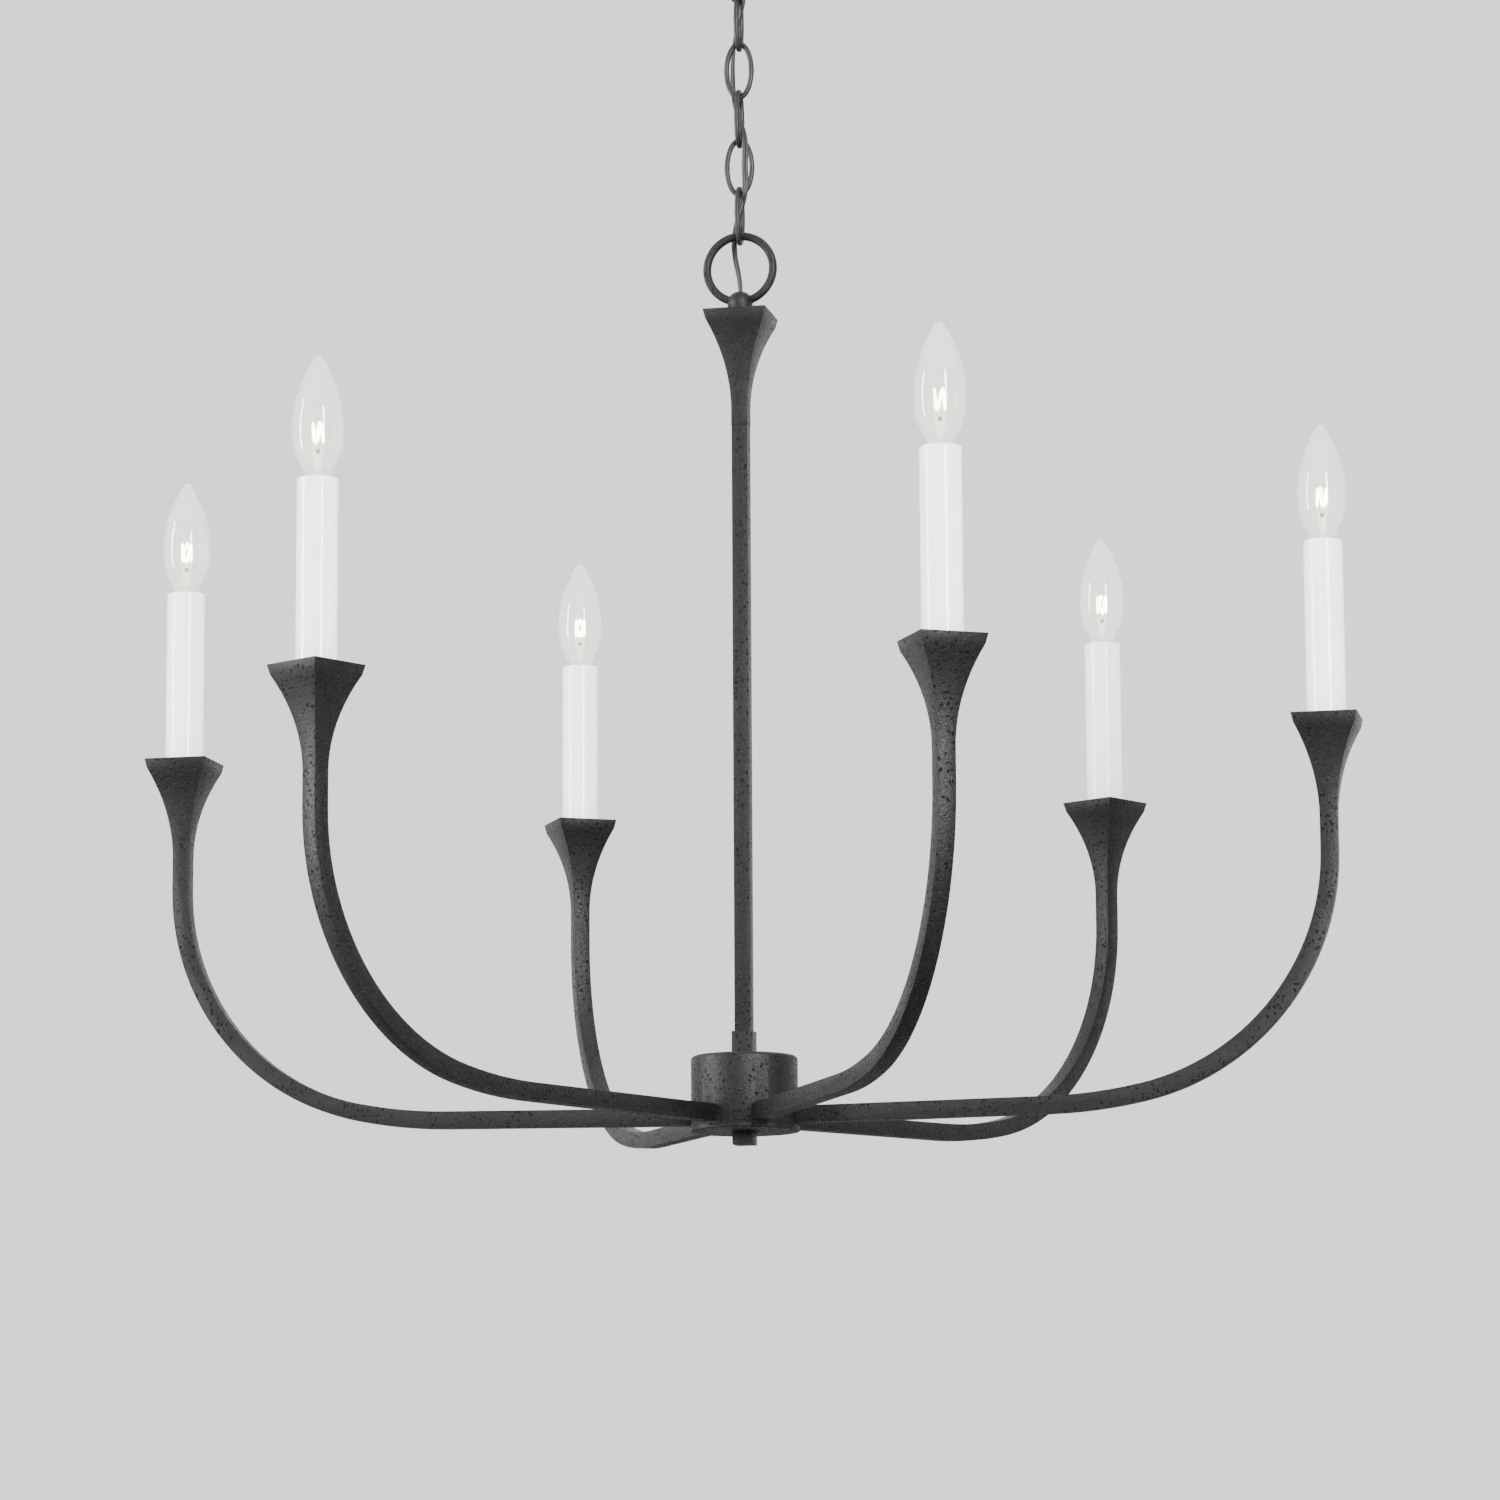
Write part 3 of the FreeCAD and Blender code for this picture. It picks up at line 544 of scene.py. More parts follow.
gloss = add_node(tree, "ShaderNodeMapRange",
                 {"Value": grain.outputs["Fac"], "From Min": 0.35, "From Max": 0.65,
                  "To Min": 0.54, "To Max": 0.3})
rough = add_node(tree, "ShaderNodeMath",
                 {0: pits.outputs[0], 1: PIT_ROUGHENS, 2: gloss.outputs[0]},
                 operation="MULTIPLY_ADD")
tree.links.new(rough.outputs[0], shader.inputs["Roughness"])
print(iron.name, len(tree.nodes), "nodes")

# %% [markdown]
# ## Dark lacquer for the chain
#
# Chain is bent from drawn wire, so it has no casting pits. It is lacquered a
# warm, slightly glossy black, thin enough on the crowns to look a little lighter.

# %% Lacquered wire
RUB_SIZE = 9 * MM
DRAWN_SIZE, DRAWN_DEPTH = 0.5 * MM, 0.06 * MM
wire_black, tree, shader, place = surface("lacquered_steel_wire", "#1f1e1d", 0.42,
                                          Specular_IOR_Level=0.35)
rubbed = add_node(tree, "ShaderNodeTexNoise",
                  {"Vector": place, "Scale": 1 / RUB_SIZE, "Detail": 4.0})
crown = add_node(tree, "ShaderNodeMapRange",
                 {"Value": rubbed.outputs["Fac"], "From Min": 0.35, "From Max": 0.7})
tone = add_node(tree, "ShaderNodeMix",
                {"Factor": crown.outputs[0], 6: linear("#0f0e0e"),
                 7: linear("#201e1c")}, data_type="RGBA")
tree.links.new(tone.outputs[2], shader.inputs["Base Color"])
gloss = add_node(tree, "ShaderNodeMapRange",
                 {"Value": rubbed.outputs["Fac"], "From Min": 0.3, "From Max": 0.7,
                  "To Min": 0.5, "To Max": 0.34})
tree.links.new(gloss.outputs[0], shader.inputs["Roughness"])
drawn = add_node(tree, "ShaderNodeTexNoise",
                 {"Vector": place, "Scale": 1 / DRAWN_SIZE, "Detail": 2.0})
bump = add_node(tree, "ShaderNodeBump",
                {"Height": drawn.outputs["Fac"], "Distance": DRAWN_DEPTH})
tree.links.new(bump.outputs["Normal"], shader.inputs["Normal"])
print(wire_black.name)

# %% [markdown]
# ## Zinc, brass and nickel
#
# The strap, pipes and nuts are plain steel with bright zinc, whose crystals give
# soft patches a few millimetres wide. The bulb shells are rolled brass and their
# lead wires nickel. All of them share one recipe, in which each crystal takes
# its own shade and gloss. Its two colours and its gloss change per metal.


# %% Plated and rolled metals
SKIN_SIZE, SKIN_DEPTH = 1.5 * MM, 0.03 * MM


def patchy_metal(name, light, dark, rough, crystal_size=4 * MM):
    """A metal whose crystals each take their own shade and gloss."""
    material, tree, shader, place = surface(name, light, rough, Metallic=1.0)
    crystals = add_node(tree, "ShaderNodeTexVoronoi",
                        {"Vector": place, "Scale": 1 / crystal_size})
    patch = add_node(tree, "ShaderNodeSeparateColor", {0: crystals.outputs["Color"]})
    tone = add_node(tree, "ShaderNodeMix",
                    {"Factor": patch.outputs[0], 6: linear(dark), 7: linear(light)},
                    data_type="RGBA")
    tree.links.new(tone.outputs[2], shader.inputs["Base Color"])
    gloss = add_node(tree, "ShaderNodeMapRange",
                     {"Value": patch.outputs[0], "To Min": rough - 0.06,
                      "To Max": rough + 0.1})
    tree.links.new(gloss.outputs[0], shader.inputs["Roughness"])
    skin = add_node(tree, "ShaderNodeTexNoise",
                    {"Vector": place, "Scale": 1 / SKIN_SIZE})
    bump = add_node(tree, "ShaderNodeBump",
                    {"Height": skin.outputs["Fac"], "Distance": SKIN_DEPTH})
    tree.links.new(bump.outputs["Normal"], shader.inputs["Normal"])
    return material


zinc = patchy_metal("zinc_plated_steel", "#b9bcbd", "#9a9d9f", 0.34)
green_zinc = patchy_metal("green_dyed_zinc", "#2f7d46", "#1f5c31", 0.36)
brass = patchy_metal("rolled_brass", "#d9b66a", "#c39d4e", 0.26, crystal_size=9 * MM)
lead_metal = patchy_metal("nickel_lead_wire", "#9c9a94", "#7d7b76", 0.3)
print(zinc.name, green_zinc.name, brass.name, lead_metal.name)

# %% [markdown]
# ## Plastics, jacket and candle tubes
#
# The sockets are brown-black phenolic, the wire connectors a coloured nylon and
# the cord's jacket is PVC. A moulding never comes out quite even: faint flow
# marks run through its colour, and its skin has the orange peel of the mould.
#
# The candles are extruded white tubes with a gloss like enamel. Their wall is
# thin enough that a little light scatters inside it, which is why a tube never
# looks as grey on its shaded side as painted metal would. Some of the bulb's own
# light also comes down inside it, and a weak painted glow, set as emission on
# the tubes, stands for that.


# %% Moulded plastics
FLOW_SIZE = 30 * MM
PEEL_DEPTH = 0.03 * MM


def moulded(name, colour, other, rough, peel_size=1.2 * MM, **extra):
    """A plastic or glaze with faint flow marks and an orange-peel skin."""
    material, tree, shader, place = surface(name, colour, rough, **extra)
    flow = add_node(tree, "ShaderNodeTexNoise",
                    {"Vector": place, "Scale": 1 / FLOW_SIZE, "Detail": 2.0})
    tone = add_node(tree, "ShaderNodeMix",
                    {"Factor": flow.outputs["Fac"], 6: linear(colour),
                     7: linear(other)}, data_type="RGBA")
    tree.links.new(tone.outputs[2], shader.inputs["Base Color"])
    peel = add_node(tree, "ShaderNodeTexNoise",
                    {"Vector": place, "Scale": 1 / peel_size, "Detail": 1.0})
    gloss = add_node(tree, "ShaderNodeMapRange",
                     {"Value": peel.outputs["Fac"], "From Min": 0.3, "From Max": 0.7,
                      "To Min": rough, "To Max": rough + 0.06})
    tree.links.new(gloss.outputs[0], shader.inputs["Roughness"])
    bump = add_node(tree, "ShaderNodeBump",
                    {"Height": peel.outputs["Fac"], "Distance": PEEL_DEPTH})
    tree.links.new(bump.outputs["Normal"], shader.inputs["Normal"])
    return material


phenolic = moulded("brown_black_phenolic", "#241d1a", "#2c2420", 0.32)
nylon = moulded("orange_nylon", "#c9631c", "#b85614", 0.45)
jacket = moulded("dark_pvc_jacket", "#151413", "#0f0e0e", 0.42, peel_size=2.5 * MM)
bead_dark = moulded("grey_glass_bead", "#3c3a38", "#55504a", 0.2)
# The tubes' emission is a painted glow; the tubes are no lamp.
candle_white = moulded("white_extruded_plastic", "#f6f7f8", "#f1f2f4", 0.12,
                       peel_size=6 * MM, IOR=1.5,
                       Subsurface_Weight=0.35, Subsurface_Scale=0.002,
                       Subsurface_Radius=(1.0, 0.95, 0.9),
                       Emission_Color=linear("#fbfcff"), Emission_Strength=0.24)
print(phenolic.name, nylon.name, jacket.name, candle_white.name)

# %% [markdown]
# ## Clear bulb glass
#
# The bulbs are blown soda-lime glass, 0.8 mm thick with a real inner wall, so the
# shader only needs to be clear glass of index 1.52. Dust and skin grease leave a
# faint bright haze on any bulb, so a twelfth of the light is scattered. The glass
# also has a weak painted glow, set as emission, which makes the bulbs look brighter
# than their lighting alone would. A slow ripple of a few hundredths of a
# millimetre bends the highlights as blown glass does.

# %% Blown glass
RIPPLE_SIZE, RIPPLE_DEPTH = 14 * MM, 0.12 * MM
# The glass's emission is a painted glow that brightens the bulbs; the glass is no lamp.
glass, tree, shader, place = surface("blown_soda_lime_glass", "#fdfefe", 0.0,
                                     IOR=1.52, Transmission_Weight=0.92,
                                     Emission_Color=linear("#fffefc"),
                                     Emission_Strength=0.12)
ripple = add_node(tree, "ShaderNodeTexNoise",
                  {"Vector": place, "Scale": 1 / RIPPLE_SIZE, "Detail": 1.0})
bump = add_node(tree, "ShaderNodeBump",
                {"Height": ripple.outputs["Fac"], "Distance": RIPPLE_DEPTH})
tree.links.new(bump.outputs["Normal"], shader.inputs["Normal"])
print(glass.name)

# %% [markdown]
# ## Glowing tungsten
#
# The filament is drawn far thicker than the real coil, which is finer than a hair
# but shines so strongly that it looks thick. A fine wave along it stands for the
# coil's turns.

# %% Glowing filament
TURN_SIZE, TURN_DEPTH = 2 * MM, 0.1 * MM
tungsten, tree, shader, place = surface("glowing_tungsten", "#fff1d0", 0.4,
                                        Emission_Color=linear("#ffe9c6"),
                                        Emission_Strength=16.0)
turns = add_node(tree, "ShaderNodeTexWave",
                 {"Vector": place, "Scale": 1 / TURN_SIZE}, bands_direction="Z")
bump = add_node(tree, "ShaderNodeBump",
                {"Height": turns.outputs["Fac"], "Distance": TURN_DEPTH})
tree.links.new(bump.outputs["Normal"], shader.inputs["Normal"])
print(tungsten.name)

# %% [markdown]
# ## The room's paint
#
# Matt wall paint, almost without gloss, with a roller's fine stipple.

# %% Paint the room
STIPPLE_SIZE, STIPPLE_DEPTH = 4 * MM, 0.02 * MM
paint, tree, shader, place = surface("matt_wall_paint", "#e6e4e1", 0.9)
stipple = add_node(tree, "ShaderNodeTexNoise",
                   {"Vector": place, "Scale": 1 / STIPPLE_SIZE, "Detail": 1.0})
bump = add_node(tree, "ShaderNodeBump",
                {"Height": stipple.outputs["Fac"], "Distance": STIPPLE_DEPTH})
tree.links.new(bump.outputs["Normal"], shader.inputs["Normal"])
room.data.materials.append(paint)
felt = surface("dark_felt", "#1c1c1c", 0.95)[0]
for screen in screens:
    screen.data.materials.append(felt)
print(paint.name, felt.name)

# %% [markdown]
# ## Rounded edges for the iron
#
# The solid model's edges are perfectly sharp, and no casting's are. A sharp edge
# also catches no light, so black pieces would look cut from paper. A copy of each
# iron piece is joined into one skin, its flat faces are merged, and a Bevel
# modifier rounds only its edges sharper than 35 degrees. The copy stands for the
# solid model's piece, which stays for the physics.


# %% Soften a piece's edges
SAME_POINT = 0.001 * MM
FLAT_BELOW = math.radians(0.5)
ROUND_ABOVE = math.radians(35)
CREASE_ABOVE = math.radians(38)


def softened(node, edge, material):
    """A copy of a CAD node with rounded edges, riding where the node rides."""
    skin = bmesh.new()
    skin.from_mesh(frame["nodes"][node].data)
    bmesh.ops.remove_doubles(skin, verts=skin.verts, dist=SAME_POINT)
    bmesh.ops.dissolve_limit(skin, angle_limit=FLAT_BELOW, verts=skin.verts,
                             edges=skin.edges)
    mesh = bpy.data.meshes.new("soft_" + node)
    skin.to_mesh(mesh)
    skin.free()
    for layer in [a.name for a in mesh.attributes if a.name == "custom_normal"]:
        mesh.attributes.remove(mesh.attributes[layer])
    piece = show(bpy.data.objects.new("soft_" + node, mesh))
    bevel = piece.modifiers.new("edge", "BEVEL")
    bevel.width = edge
    bevel.segments = 2
    bevel.limit_method = "ANGLE"
    bevel.angle_limit = ROUND_ABOVE
    bevel.use_clamp_overlap = True
    depsgraph = bpy.context.evaluated_depsgraph_get()
    final = bpy.data.meshes.new_from_object(piece.evaluated_get(depsgraph))
    piece.modifiers.clear()
    piece.data = final
    final.set_sharp_from_angle(angle=CREASE_ABOVE)
    final.materials.clear()
    final.materials.append(material)
    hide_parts(node)
    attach(piece, frame["nodes"][node]["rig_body"])
    return piece


# %% Iron pieces
IRON_EDGES = {
    "hub_body": 0.5 * MM,
    "hub_cover": 0.3 * MM,
    "finial": 0.7 * MM,
    "stem_cap": 0.5 * MM,
    "stem_tube": 0.9 * MM,
    "stem_collar": 0.6 * MM,
    "canopy_loop": 0.3 * MM,
}
for k in range(1, ARM_COUNT + 1):
    IRON_EDGES[f"arm_{k}"] = 0.6 * MM
for node, edge in IRON_EDGES.items():
    piece = softened(node, edge, iron)
    print(piece.name, len(piece.data.polygons), "faces")

# %% [markdown]
# ## Geometry Nodes trees
#
# What repeats is made by Geometry Nodes, so that one tree with named sizes says
# how many and how big. One small function starts a tree with those inputs, and
# one ends it with real geometry and its finish. A third runs it on an empty
# object, sets each input by its identifier, and turns the result into one plain
# mesh.


# %% Start and run a node tree
def tree_with(name, sizes):
    """A geometry node group whose inputs are the given sizes."""
    tree = bpy.data.node_groups.new(name, "GeometryNodeTree")
    for label, value in sizes.items():
        kind = "NodeSocketInt" if isinstance(value, int) else "NodeSocketFloat"
        tree.interface.new_socket(label, in_out="INPUT", socket_type=kind)
    tree.interface.new_socket("Geometry", in_out="OUTPUT",
                              socket_type="NodeSocketGeometry")
    return tree, add_node(tree, "NodeGroupInput").outputs


def close_tree(tree, geometry, material):
    """Makes instances real, sets the material, and ends the tree."""
    real = add_node(tree, "GeometryNodeRealizeInstances", {"Geometry": geometry})
    painted = add_node(tree, "GeometryNodeSetMaterial",
                       {"Geometry": real.outputs[0], "Material": material})
    add_node(tree, "NodeGroupOutput", {"Geometry": painted.outputs[0]})


def grown(name, tree, sizes, place=Matrix.Identity(4), smooth_deg=40):
    """A plain mesh piece made by a tree with those sizes, set at a place."""
    piece = show(bpy.data.objects.new(name, bpy.data.meshes.new(name + "_seed")))
    growth = piece.modifiers.new("grow", "NODES")
    growth.node_group = tree
    sockets = {item.name: item.identifier for item in tree.interface.items_tree
               if item.in_out == "INPUT"}
    for label, value in sizes.items():
        growth[sockets[label]] = value
    bpy.context.view_layer.update()
    depsgraph = bpy.context.evaluated_depsgraph_get()
    mesh = bpy.data.meshes.new_from_object(piece.evaluated_get(depsgraph))
    piece.modifiers.clear()
    piece.data = mesh
    mesh.transform(place)
    mesh.polygons.foreach_set("use_smooth", [True] * len(mesh.polygons))
    mesh.set_sharp_from_angle(angle=math.radians(smooth_deg))
    return piece


print("tree helpers ready")

# %% [markdown]
# ## The chain
#
# A link is a piece of wire bent into an oval and butt-welded in the middle of
# one side, where a slight ring of weld stands proud. One oval is a circle curve
# stretched both ways. The wire's thickness is the curve's radius, raised over a
# short stretch to make the weld. Copies go down a line, one per link, and every
# second one is turned a quarter turn about the chain.

# %% Grow the chain
WELD_FLAT, WELD_END = 0.006, 0.022  # from the weld's middle, in loop lengths
chain_sizes = {
    "Links": len(LINKS),
    "Pitch": link_z[0] - link_z[1],
    "Half length": 17.525 * MM,
    "Half width": 8.0 * MM,
    "Wire radius": 1.65 * MM,
    "Weld rise": 0.11,
}
chain_tree, size = tree_with("chain", chain_sizes)
oval = add_node(chain_tree, "GeometryNodeCurvePrimitiveCircle",
                {"Resolution": 72, "Radius": 1.0})
stretch = add_node(chain_tree, "ShaderNodeCombineXYZ",
                   {"X": size["Half width"], "Y": size["Half length"], "Z": 1.0})
upright = add_node(chain_tree, "GeometryNodeTransform",
                   {"Geometry": oval.outputs[0], "Scale": stretch.outputs[0]})
stood = add_node(chain_tree, "GeometryNodeTransform",
                 {"Geometry": upright.outputs[0], "Rotation": (math.pi / 2, 0, 0)})
along = add_node(chain_tree, "GeometryNodeSplineParameter").outputs["Factor"]
from_weld = add_node(chain_tree, "ShaderNodeMath", {0: along, 1: 0.5},
                     operation="SUBTRACT")
away = add_node(chain_tree, "ShaderNodeMath", {0: from_weld.outputs[0]},
                operation="ABSOLUTE")
swell = add_node(chain_tree, "ShaderNodeMapRange",
                 {"Value": away.outputs[0], "From Min": WELD_FLAT, "From Max": WELD_END,
                  "To Min": size["Weld rise"], "To Max": 0.0},
                 interpolation_type="SMOOTHSTEP")
thick = add_node(chain_tree, "ShaderNodeMath", {0: swell.outputs[0], 1: 1.0},
                 operation="ADD")
wire = add_node(chain_tree, "GeometryNodeSetCurveRadius",
                {"Curve": stood.outputs[0], "Radius": thick.outputs[0]})
section = add_node(chain_tree, "GeometryNodeCurvePrimitiveCircle",
                   {"Resolution": 20, "Radius": size["Wire radius"]})
link = add_node(chain_tree, "GeometryNodeCurveToMesh",
                {"Curve": wire.outputs[0], "Profile Curve": section.outputs[0],
                 "Scale": thick.outputs[0]})
drop = add_node(chain_tree, "ShaderNodeMath", {0: size["Pitch"], 1: -1.0},
                operation="MULTIPLY")
step = add_node(chain_tree, "ShaderNodeCombineXYZ", {"Z": drop.outputs[0]})
hooks = add_node(chain_tree, "GeometryNodeMeshLine",
                 {"Count": size["Links"], "Offset": step.outputs[0]})
index = add_node(chain_tree, "GeometryNodeInputIndex").outputs[0]
quarter = add_node(chain_tree, "ShaderNodeMath", {0: index, 1: math.pi / 2},
                   operation="MULTIPLY")
turned = add_node(chain_tree, "ShaderNodeCombineXYZ", {"Z": quarter.outputs[0]})
links = add_node(chain_tree, "GeometryNodeInstanceOnPoints",
                 {"Points": hooks.outputs[0], "Instance": link.outputs[0],
                  "Rotation": turned.outputs[0]})
close_tree(chain_tree, links.outputs[0], wire_black)
chain = grown("chain_links", chain_tree, chain_sizes,
              Matrix.Translation((0, 0, link_z[0])), smooth_deg=60)
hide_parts(*LINKS)
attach(chain, "chain")
print(len(chain.data.polygons), "faces in", len(LINKS), "links")

# %% [markdown]
# ## Inside a bulb
#
# A glass stem rises from the neck and is pinched flat at its top round the lead
# wires. Above it a small bead holds fine support wires, and the filament stands
# round them in tall loops. The stem and bead are turned shapes. The filament
# follows a rule: a ring whose height goes up and down once for each loop, so a
# tree makes it, and another fans the support wires out from the bead.

# %% Grow a filament
filament_sizes = {
    "Loops": 3,
    "Ring radius": 3.0 * MM,
    "Loop rise": 5.6 * MM,
    "Coil radius": 0.75 * MM,
}
filament_tree, size = tree_with("filament", filament_sizes)
ring = add_node(filament_tree, "GeometryNodeCurvePrimitiveCircle",
                {"Resolution": 120, "Radius": size["Ring radius"]})
along = add_node(filament_tree, "GeometryNodeSplineParameter").outputs["Factor"]
phase = add_node(filament_tree, "ShaderNodeMath", {0: along, 1: math.tau},
                 operation="MULTIPLY")
looped = add_node(filament_tree, "ShaderNodeMath",
                  {0: phase.outputs[0], 1: size["Loops"]}, operation="MULTIPLY")
wave = add_node(filament_tree, "ShaderNodeMath", {0: looped.outputs[0]},
                operation="SINE")
height = add_node(filament_tree, "ShaderNodeMath",
                  {0: wave.outputs[0], 1: size["Loop rise"]}, operation="MULTIPLY")
lift = add_node(filament_tree, "ShaderNodeCombineXYZ", {"Z": height.outputs[0]})
bent = add_node(filament_tree, "GeometryNodeSetPosition",
                {"Geometry": ring.outputs[0], "Offset": lift.outputs[0]})
coil = add_node(filament_tree, "GeometryNodeCurvePrimitiveCircle",
                {"Resolution": 8, "Radius": size["Coil radius"]})
thread = add_node(filament_tree, "GeometryNodeCurveToMesh",
                  {"Curve": bent.outputs[0], "Profile Curve": coil.outputs[0]})
close_tree(filament_tree, thread.outputs[0], tungsten)
print(len(filament_tree.nodes), "nodes")

# %% Grow the support wires
support_sizes = {
    "Wires": 4,
    "Spread": 2.5 * MM,
    "Rise": 5.0 * MM,
    "Elbow height": 0.8 * MM,
    "Wire radius": 0.16 * MM,
}
support_tree, size = tree_with("filament_supports", support_sizes)
tip = add_node(support_tree, "ShaderNodeCombineXYZ",
               {"X": size["Spread"], "Z": size["Rise"]})
elbow = add_node(support_tree, "ShaderNodeCombineXYZ",
                 {"X": size["Spread"], "Z": size["Elbow height"]})
arch = add_node(support_tree, "GeometryNodeCurveQuadraticBezier",
                {"Resolution": 8, "Start": (0, 0, 0), "Middle": elbow.outputs[0],
                 "End": tip.outputs[0]})
gauge = add_node(support_tree, "GeometryNodeCurvePrimitiveCircle",
                 {"Resolution": 6, "Radius": size["Wire radius"]})
wire = add_node(support_tree, "GeometryNodeCurveToMesh",
                {"Curve": arch.outputs[0], "Profile Curve": gauge.outputs[0],
                 "Fill Caps": True})
posts = add_node(support_tree, "GeometryNodeMeshLine",
                 {"Count": size["Wires"], "Offset": (0, 0, 0)})
index = add_node(support_tree, "GeometryNodeInputIndex").outputs[0]
share = add_node(support_tree, "ShaderNodeMath", {0: index, 1: size["Wires"]},
                 operation="DIVIDE")
angle = add_node(support_tree, "ShaderNodeMath", {0: share.outputs[0], 1: math.tau},
                 operation="MULTIPLY")
facing = add_node(support_tree, "ShaderNodeCombineXYZ", {"Z": angle.outputs[0]})
wires = add_node(support_tree, "GeometryNodeInstanceOnPoints",
                 {"Points": posts.outputs[0], "Instance": wire.outputs[0],
                  "Rotation": facing.outputs[0]})
close_tree(support_tree, wires.outputs[0], lead_metal)
print(len(support_tree.nodes), "nodes")

# %% [markdown]
# ## Fit out the six bulbs
#
# Each bulb's parts are made at the lamp's axis and carried to their candle by
# one matrix, which turns about the lamp and moves out to the candle circle. The
# bulbs were screwed in by hand, so each filament faces its own way.

# %% Stems, beads and filaments
candle_low, candle_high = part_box("candle_sleeve_1")
CANDLE_R = (candle_low.x + candle_high.x) / 2
TIP_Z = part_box("bulb_glass_1")[1].z
BEAD_Z = TIP_Z - 55.5 * MM
NECK_Z = TIP_Z - 80.0 * MM
FILAMENT_UP = 10.5 * MM  # from the bead to the filament's middle
FIRST_TURN_DEG, NEXT_TURN_DEG = 40, 71
stem_outline = [(0.0, NECK_Z), (4.6 * MM, NECK_Z), (4.2 * MM, NECK_Z + 2 * MM)]
stem_outline += [(1.9 * MM, NECK_Z + 8 * MM), (1.5 * MM, NECK_Z + 14 * MM),
                 (1.2 * MM, BEAD_Z - 1.5 * MM), (0.0, BEAD_Z - 1.2 * MM)]
bead_outline = [(0.0, BEAD_Z - 2.0 * MM)]
bead_outline += arc((0.0, BEAD_Z - 0.6 * MM), 1.4 * MM, -80, 80)
bead_outline += [(0.0, BEAD_Z + 0.9 * MM)]


def candle_place(k, height=0.0):
    """Matrix that carries a thing from the lamp's axis to candle k."""
    about = Matrix.Rotation(math.tau * (k - 1) / ARM_COUNT, 4, "Z")
    return about @ Matrix.Translation((CANDLE_R, 0, height))


def in_bulb(piece, k):
    """Rides a piece on bulb k."""
    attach(piece, f"bulb_{k}")


for k in range(1, ARM_COUNT + 1):
    own_turn = Matrix.Rotation(math.radians(FIRST_TURN_DEG + NEXT_TURN_DEG * k), 4, "Z")
    stem = spun(f"glass_stem_{k}", stem_outline, 24)
    stem.data.transform(candle_place(k))
    stem.data.materials.append(glass)
    in_bulb(stem, k)
    bead = spun(f"bead_{k}", bead_outline, 20)
    bead.data.transform(candle_place(k))
    bead.data.materials.append(bead_dark)
    in_bulb(bead, k)
    holders = grown(f"filament_supports_{k}", support_tree, support_sizes,
                    candle_place(k, BEAD_Z) @ own_turn)
    in_bulb(holders, k)
    coil = grown(f"filament_{k}", filament_tree, filament_sizes,
                 candle_place(k, BEAD_Z + FILAMENT_UP) @ own_turn, smooth_deg=80)
    in_bulb(coil, k)
print("filament's middle is", round((TIP_Z - BEAD_Z - FILAMENT_UP) / MM, 1),
      "mm below the bulb's tip")

# %% [markdown]
# ## Knurls and threads
#
# The round nut under the canopy is turned by hand, so its rim has a grip of fine
# upright ribs. The lamp pipe is threaded all along. At this size a true helix
# and a stack of rings look the same, and rings are lighter, so the thread is one
# rounded ring repeated up a line.

# %% Grow the grip
nut_low, nut_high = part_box("ring_nut")
GRIP_Z = (nut_low.z + nut_high.z) / 2 + 0.2 * MM
grip_sizes = {
    "Ribs": 44,
    "Rim radius": nut_high.x - 0.35 * MM,
    "Rib radius": 0.85 * MM,
    "Rib height": 3.4 * MM,
    "Rib bluntness": 0.35,
}
grip_tree, size = tree_with("grip", grip_sizes)
rim = add_node(grip_tree, "GeometryNodeMeshCircle",
               {"Vertices": size["Ribs"], "Radius": size["Rim radius"]})
half = add_node(grip_tree, "ShaderNodeMath", {0: size["Rib height"], 1: 0.5},
                operation="MULTIPLY")
foot = add_node(grip_tree, "ShaderNodeMath", {0: half.outputs[0], 1: -1.0},
                operation="MULTIPLY")
head_at = add_node(grip_tree, "ShaderNodeCombineXYZ", {"Z": half.outputs[0]})
foot_at = add_node(grip_tree, "ShaderNodeCombineXYZ", {"Z": foot.outputs[0]})
spine = add_node(grip_tree, "GeometryNodeCurvePrimitiveLine",
                 {"Start": foot_at.outputs[0], "End": head_at.outputs[0]})
fine = add_node(grip_tree, "GeometryNodeResampleCurve",
                {"Curve": spine.outputs[0], "Count": 7})
along = add_node(grip_tree, "GeometryNodeSplineParameter").outputs["Factor"]
bow = add_node(grip_tree, "ShaderNodeMath", {0: along, 1: math.pi},
               operation="MULTIPLY")
belly = add_node(grip_tree, "ShaderNodeMath", {0: bow.outputs[0]}, operation="SINE")
taper = add_node(grip_tree, "ShaderNodeMath",
                 {0: belly.outputs[0], 1: size["Rib bluntness"]}, operation="POWER")
dot = add_node(grip_tree, "GeometryNodeCurvePrimitiveCircle",
               {"Resolution": 8, "Radius": size["Rib radius"]})
rib = add_node(grip_tree, "GeometryNodeCurveToMesh",
               {"Curve": fine.outputs[0], "Profile Curve": dot.outputs[0],
                "Scale": taper.outputs[0], "Fill Caps": True})
ribs = add_node(grip_tree, "GeometryNodeInstanceOnPoints",
                {"Points": rim.outputs[0], "Instance": rib.outputs[0]})
close_tree(grip_tree, ribs.outputs[0], iron)
grip = grown("ring_nut_grip", grip_tree, grip_sizes,
             Matrix.Translation((0, 0, GRIP_Z)), smooth_deg=50)
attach(grip, "canopy")
print(grip_sizes["Ribs"], "ribs")

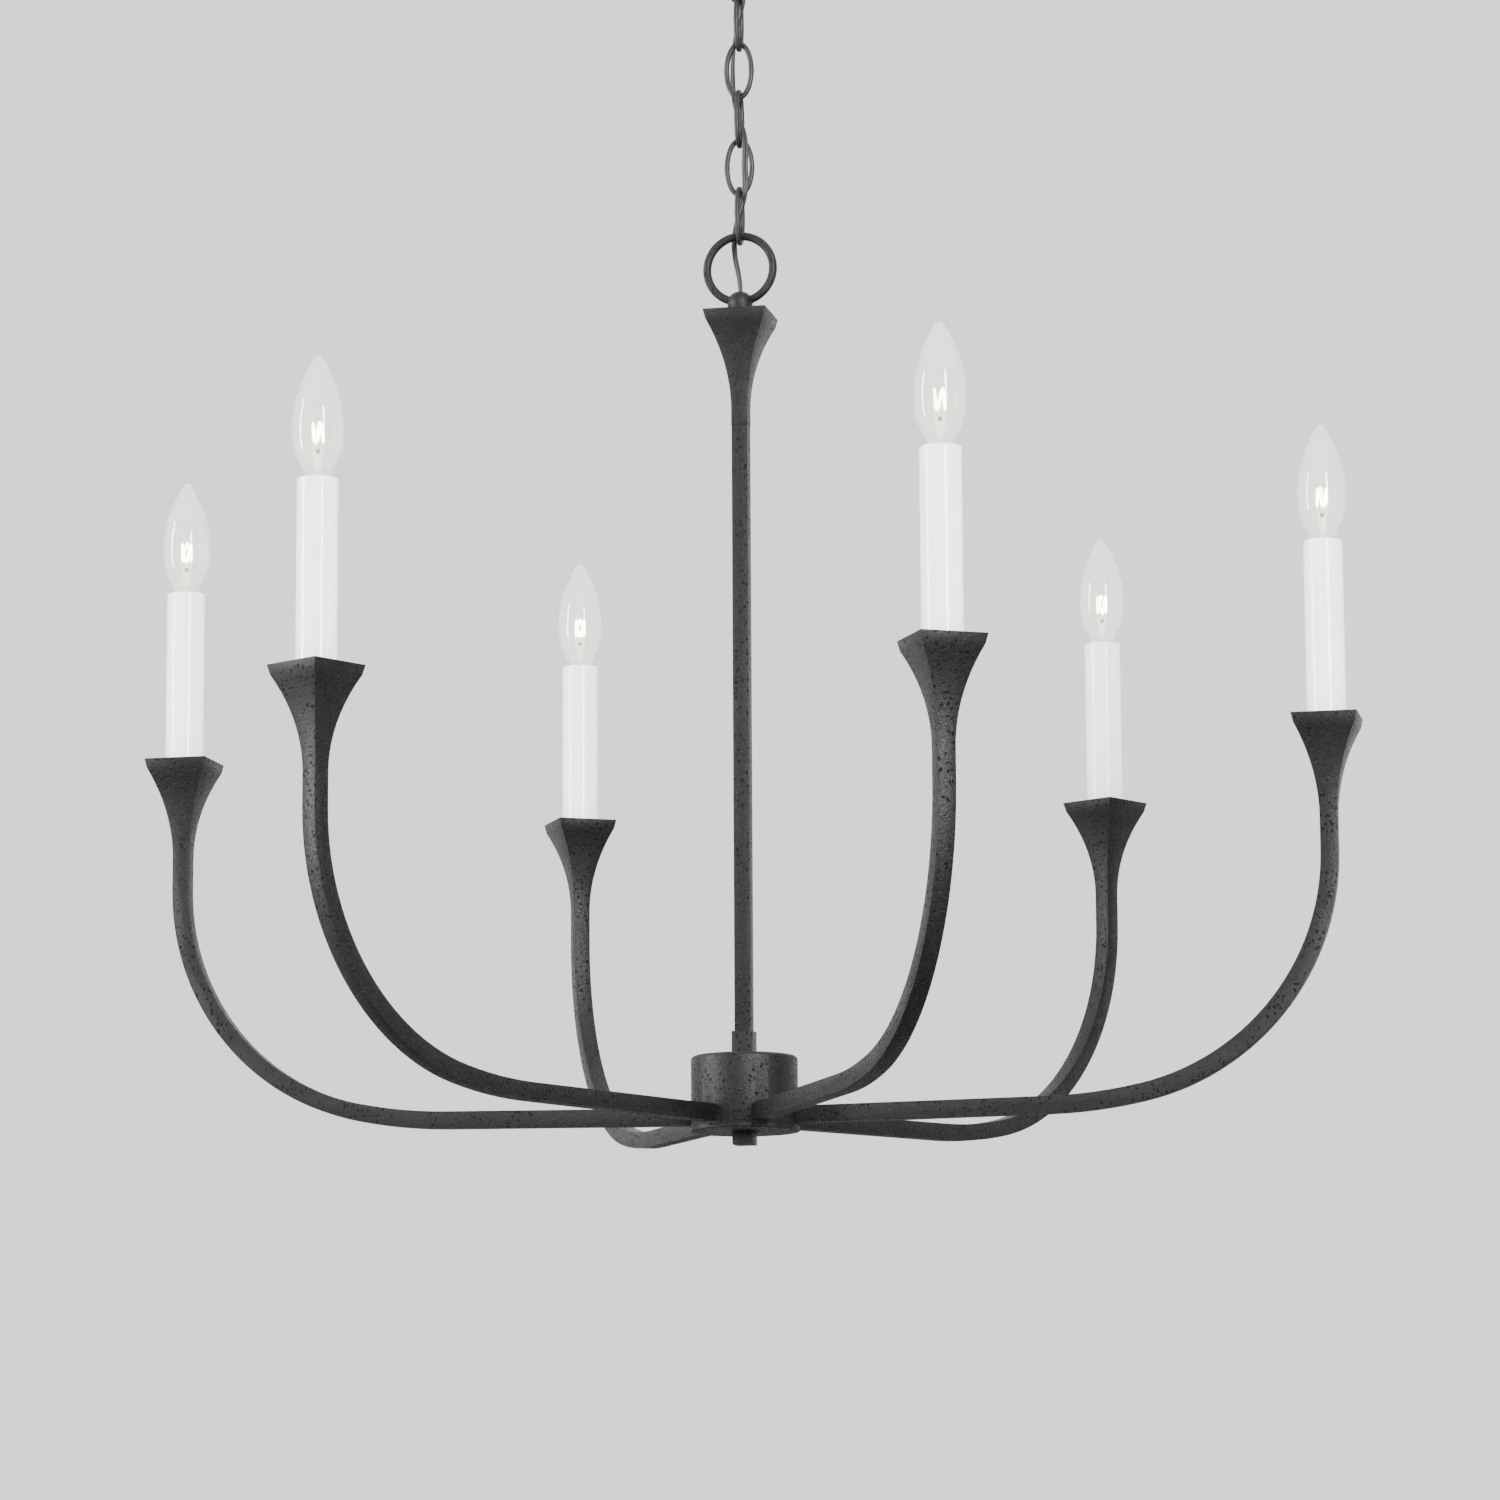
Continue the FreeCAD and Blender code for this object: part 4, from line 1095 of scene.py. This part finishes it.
# %% Grow the pipe's thread
THREAD_PITCH = 25.4 / 27 * MM
BELOW_STRAP_Z, ABOVE_NUT_Z = -11.5 * MM, 3.6 * MM
thread_sizes = {
    "Turns": 6,
    "Pitch": THREAD_PITCH,
    "Pipe radius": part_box("canopy_nipple")[1].x - 0.05 * MM,
    "Crest": 0.3 * MM,
}
thread_tree, size = tree_with("thread", thread_sizes)
hoop = add_node(thread_tree, "GeometryNodeCurvePrimitiveCircle",
                {"Resolution": 40, "Radius": size["Pipe radius"]})
crest = add_node(thread_tree, "GeometryNodeCurvePrimitiveCircle",
                 {"Resolution": 6, "Radius": size["Crest"]})
turn_of_thread = add_node(thread_tree, "GeometryNodeCurveToMesh",
                          {"Curve": hoop.outputs[0], "Profile Curve": crest.outputs[0]})
rise = add_node(thread_tree, "ShaderNodeCombineXYZ", {"Z": size["Pitch"]})
stack = add_node(thread_tree, "GeometryNodeMeshLine",
                 {"Count": size["Turns"], "Offset": rise.outputs[0]})
turns = add_node(thread_tree, "GeometryNodeInstanceOnPoints",
                 {"Points": stack.outputs[0], "Instance": turn_of_thread.outputs[0]})
close_tree(thread_tree, turns.outputs[0], zinc)
below_strap = grown("thread_below_strap", thread_tree, thread_sizes,
                    Matrix.Translation((0, 0, BELOW_STRAP_Z)))
above_nut = grown("thread_above_nut", thread_tree, {**thread_sizes, "Turns": 3},
                  Matrix.Translation((0, 0, ABOVE_NUT_Z)))
for thread in (below_strap, above_nut):
    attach(thread, "ceiling")
print("thread pitch", round(THREAD_PITCH / MM, 3), "mm")

# %% [markdown]
# ## Finishes for the pieces that keep their shape
#
# Turned pieces, such as the canopy, the ring and the candle tubes, come from the
# solid model already smooth, so they only need their finish. One table says
# which finish each kind of piece takes.

# %% Hand out the finishes
FINISHES = {
    "canopy": iron,
    "ring_nut": iron,
    "hanging_ring": iron,
    "candle_sleeve": candle_white,
    "bulb_glass": glass,
    "bulb_base": brass,
    "lamp_socket": phenolic,
    "socket_posts": zinc,
    "ceiling_strap": zinc,
    "ground_screw": green_zinc,
    "canopy_nipple": zinc,
    "nipple_locknuts": zinc,
    "centre_rod": zinc,
    "rod_locknut": zinc,
    "arm_locknuts": zinc,
    "wire_connectors": nylon,
    "socket_leads": jacket,
}
plain = []
for name, node in frame["nodes"].items():
    kind = name.rstrip("123456").rstrip("_")
    if kind in FINISHES:
        node.data.materials.clear()
        node.data.materials.append(FINISHES[kind])
    elif not node.hide_render:
        plain.append(name)
for cord in cords.values():
    cord.data.materials.append(jacket)
print("pieces with no finish:", plain)
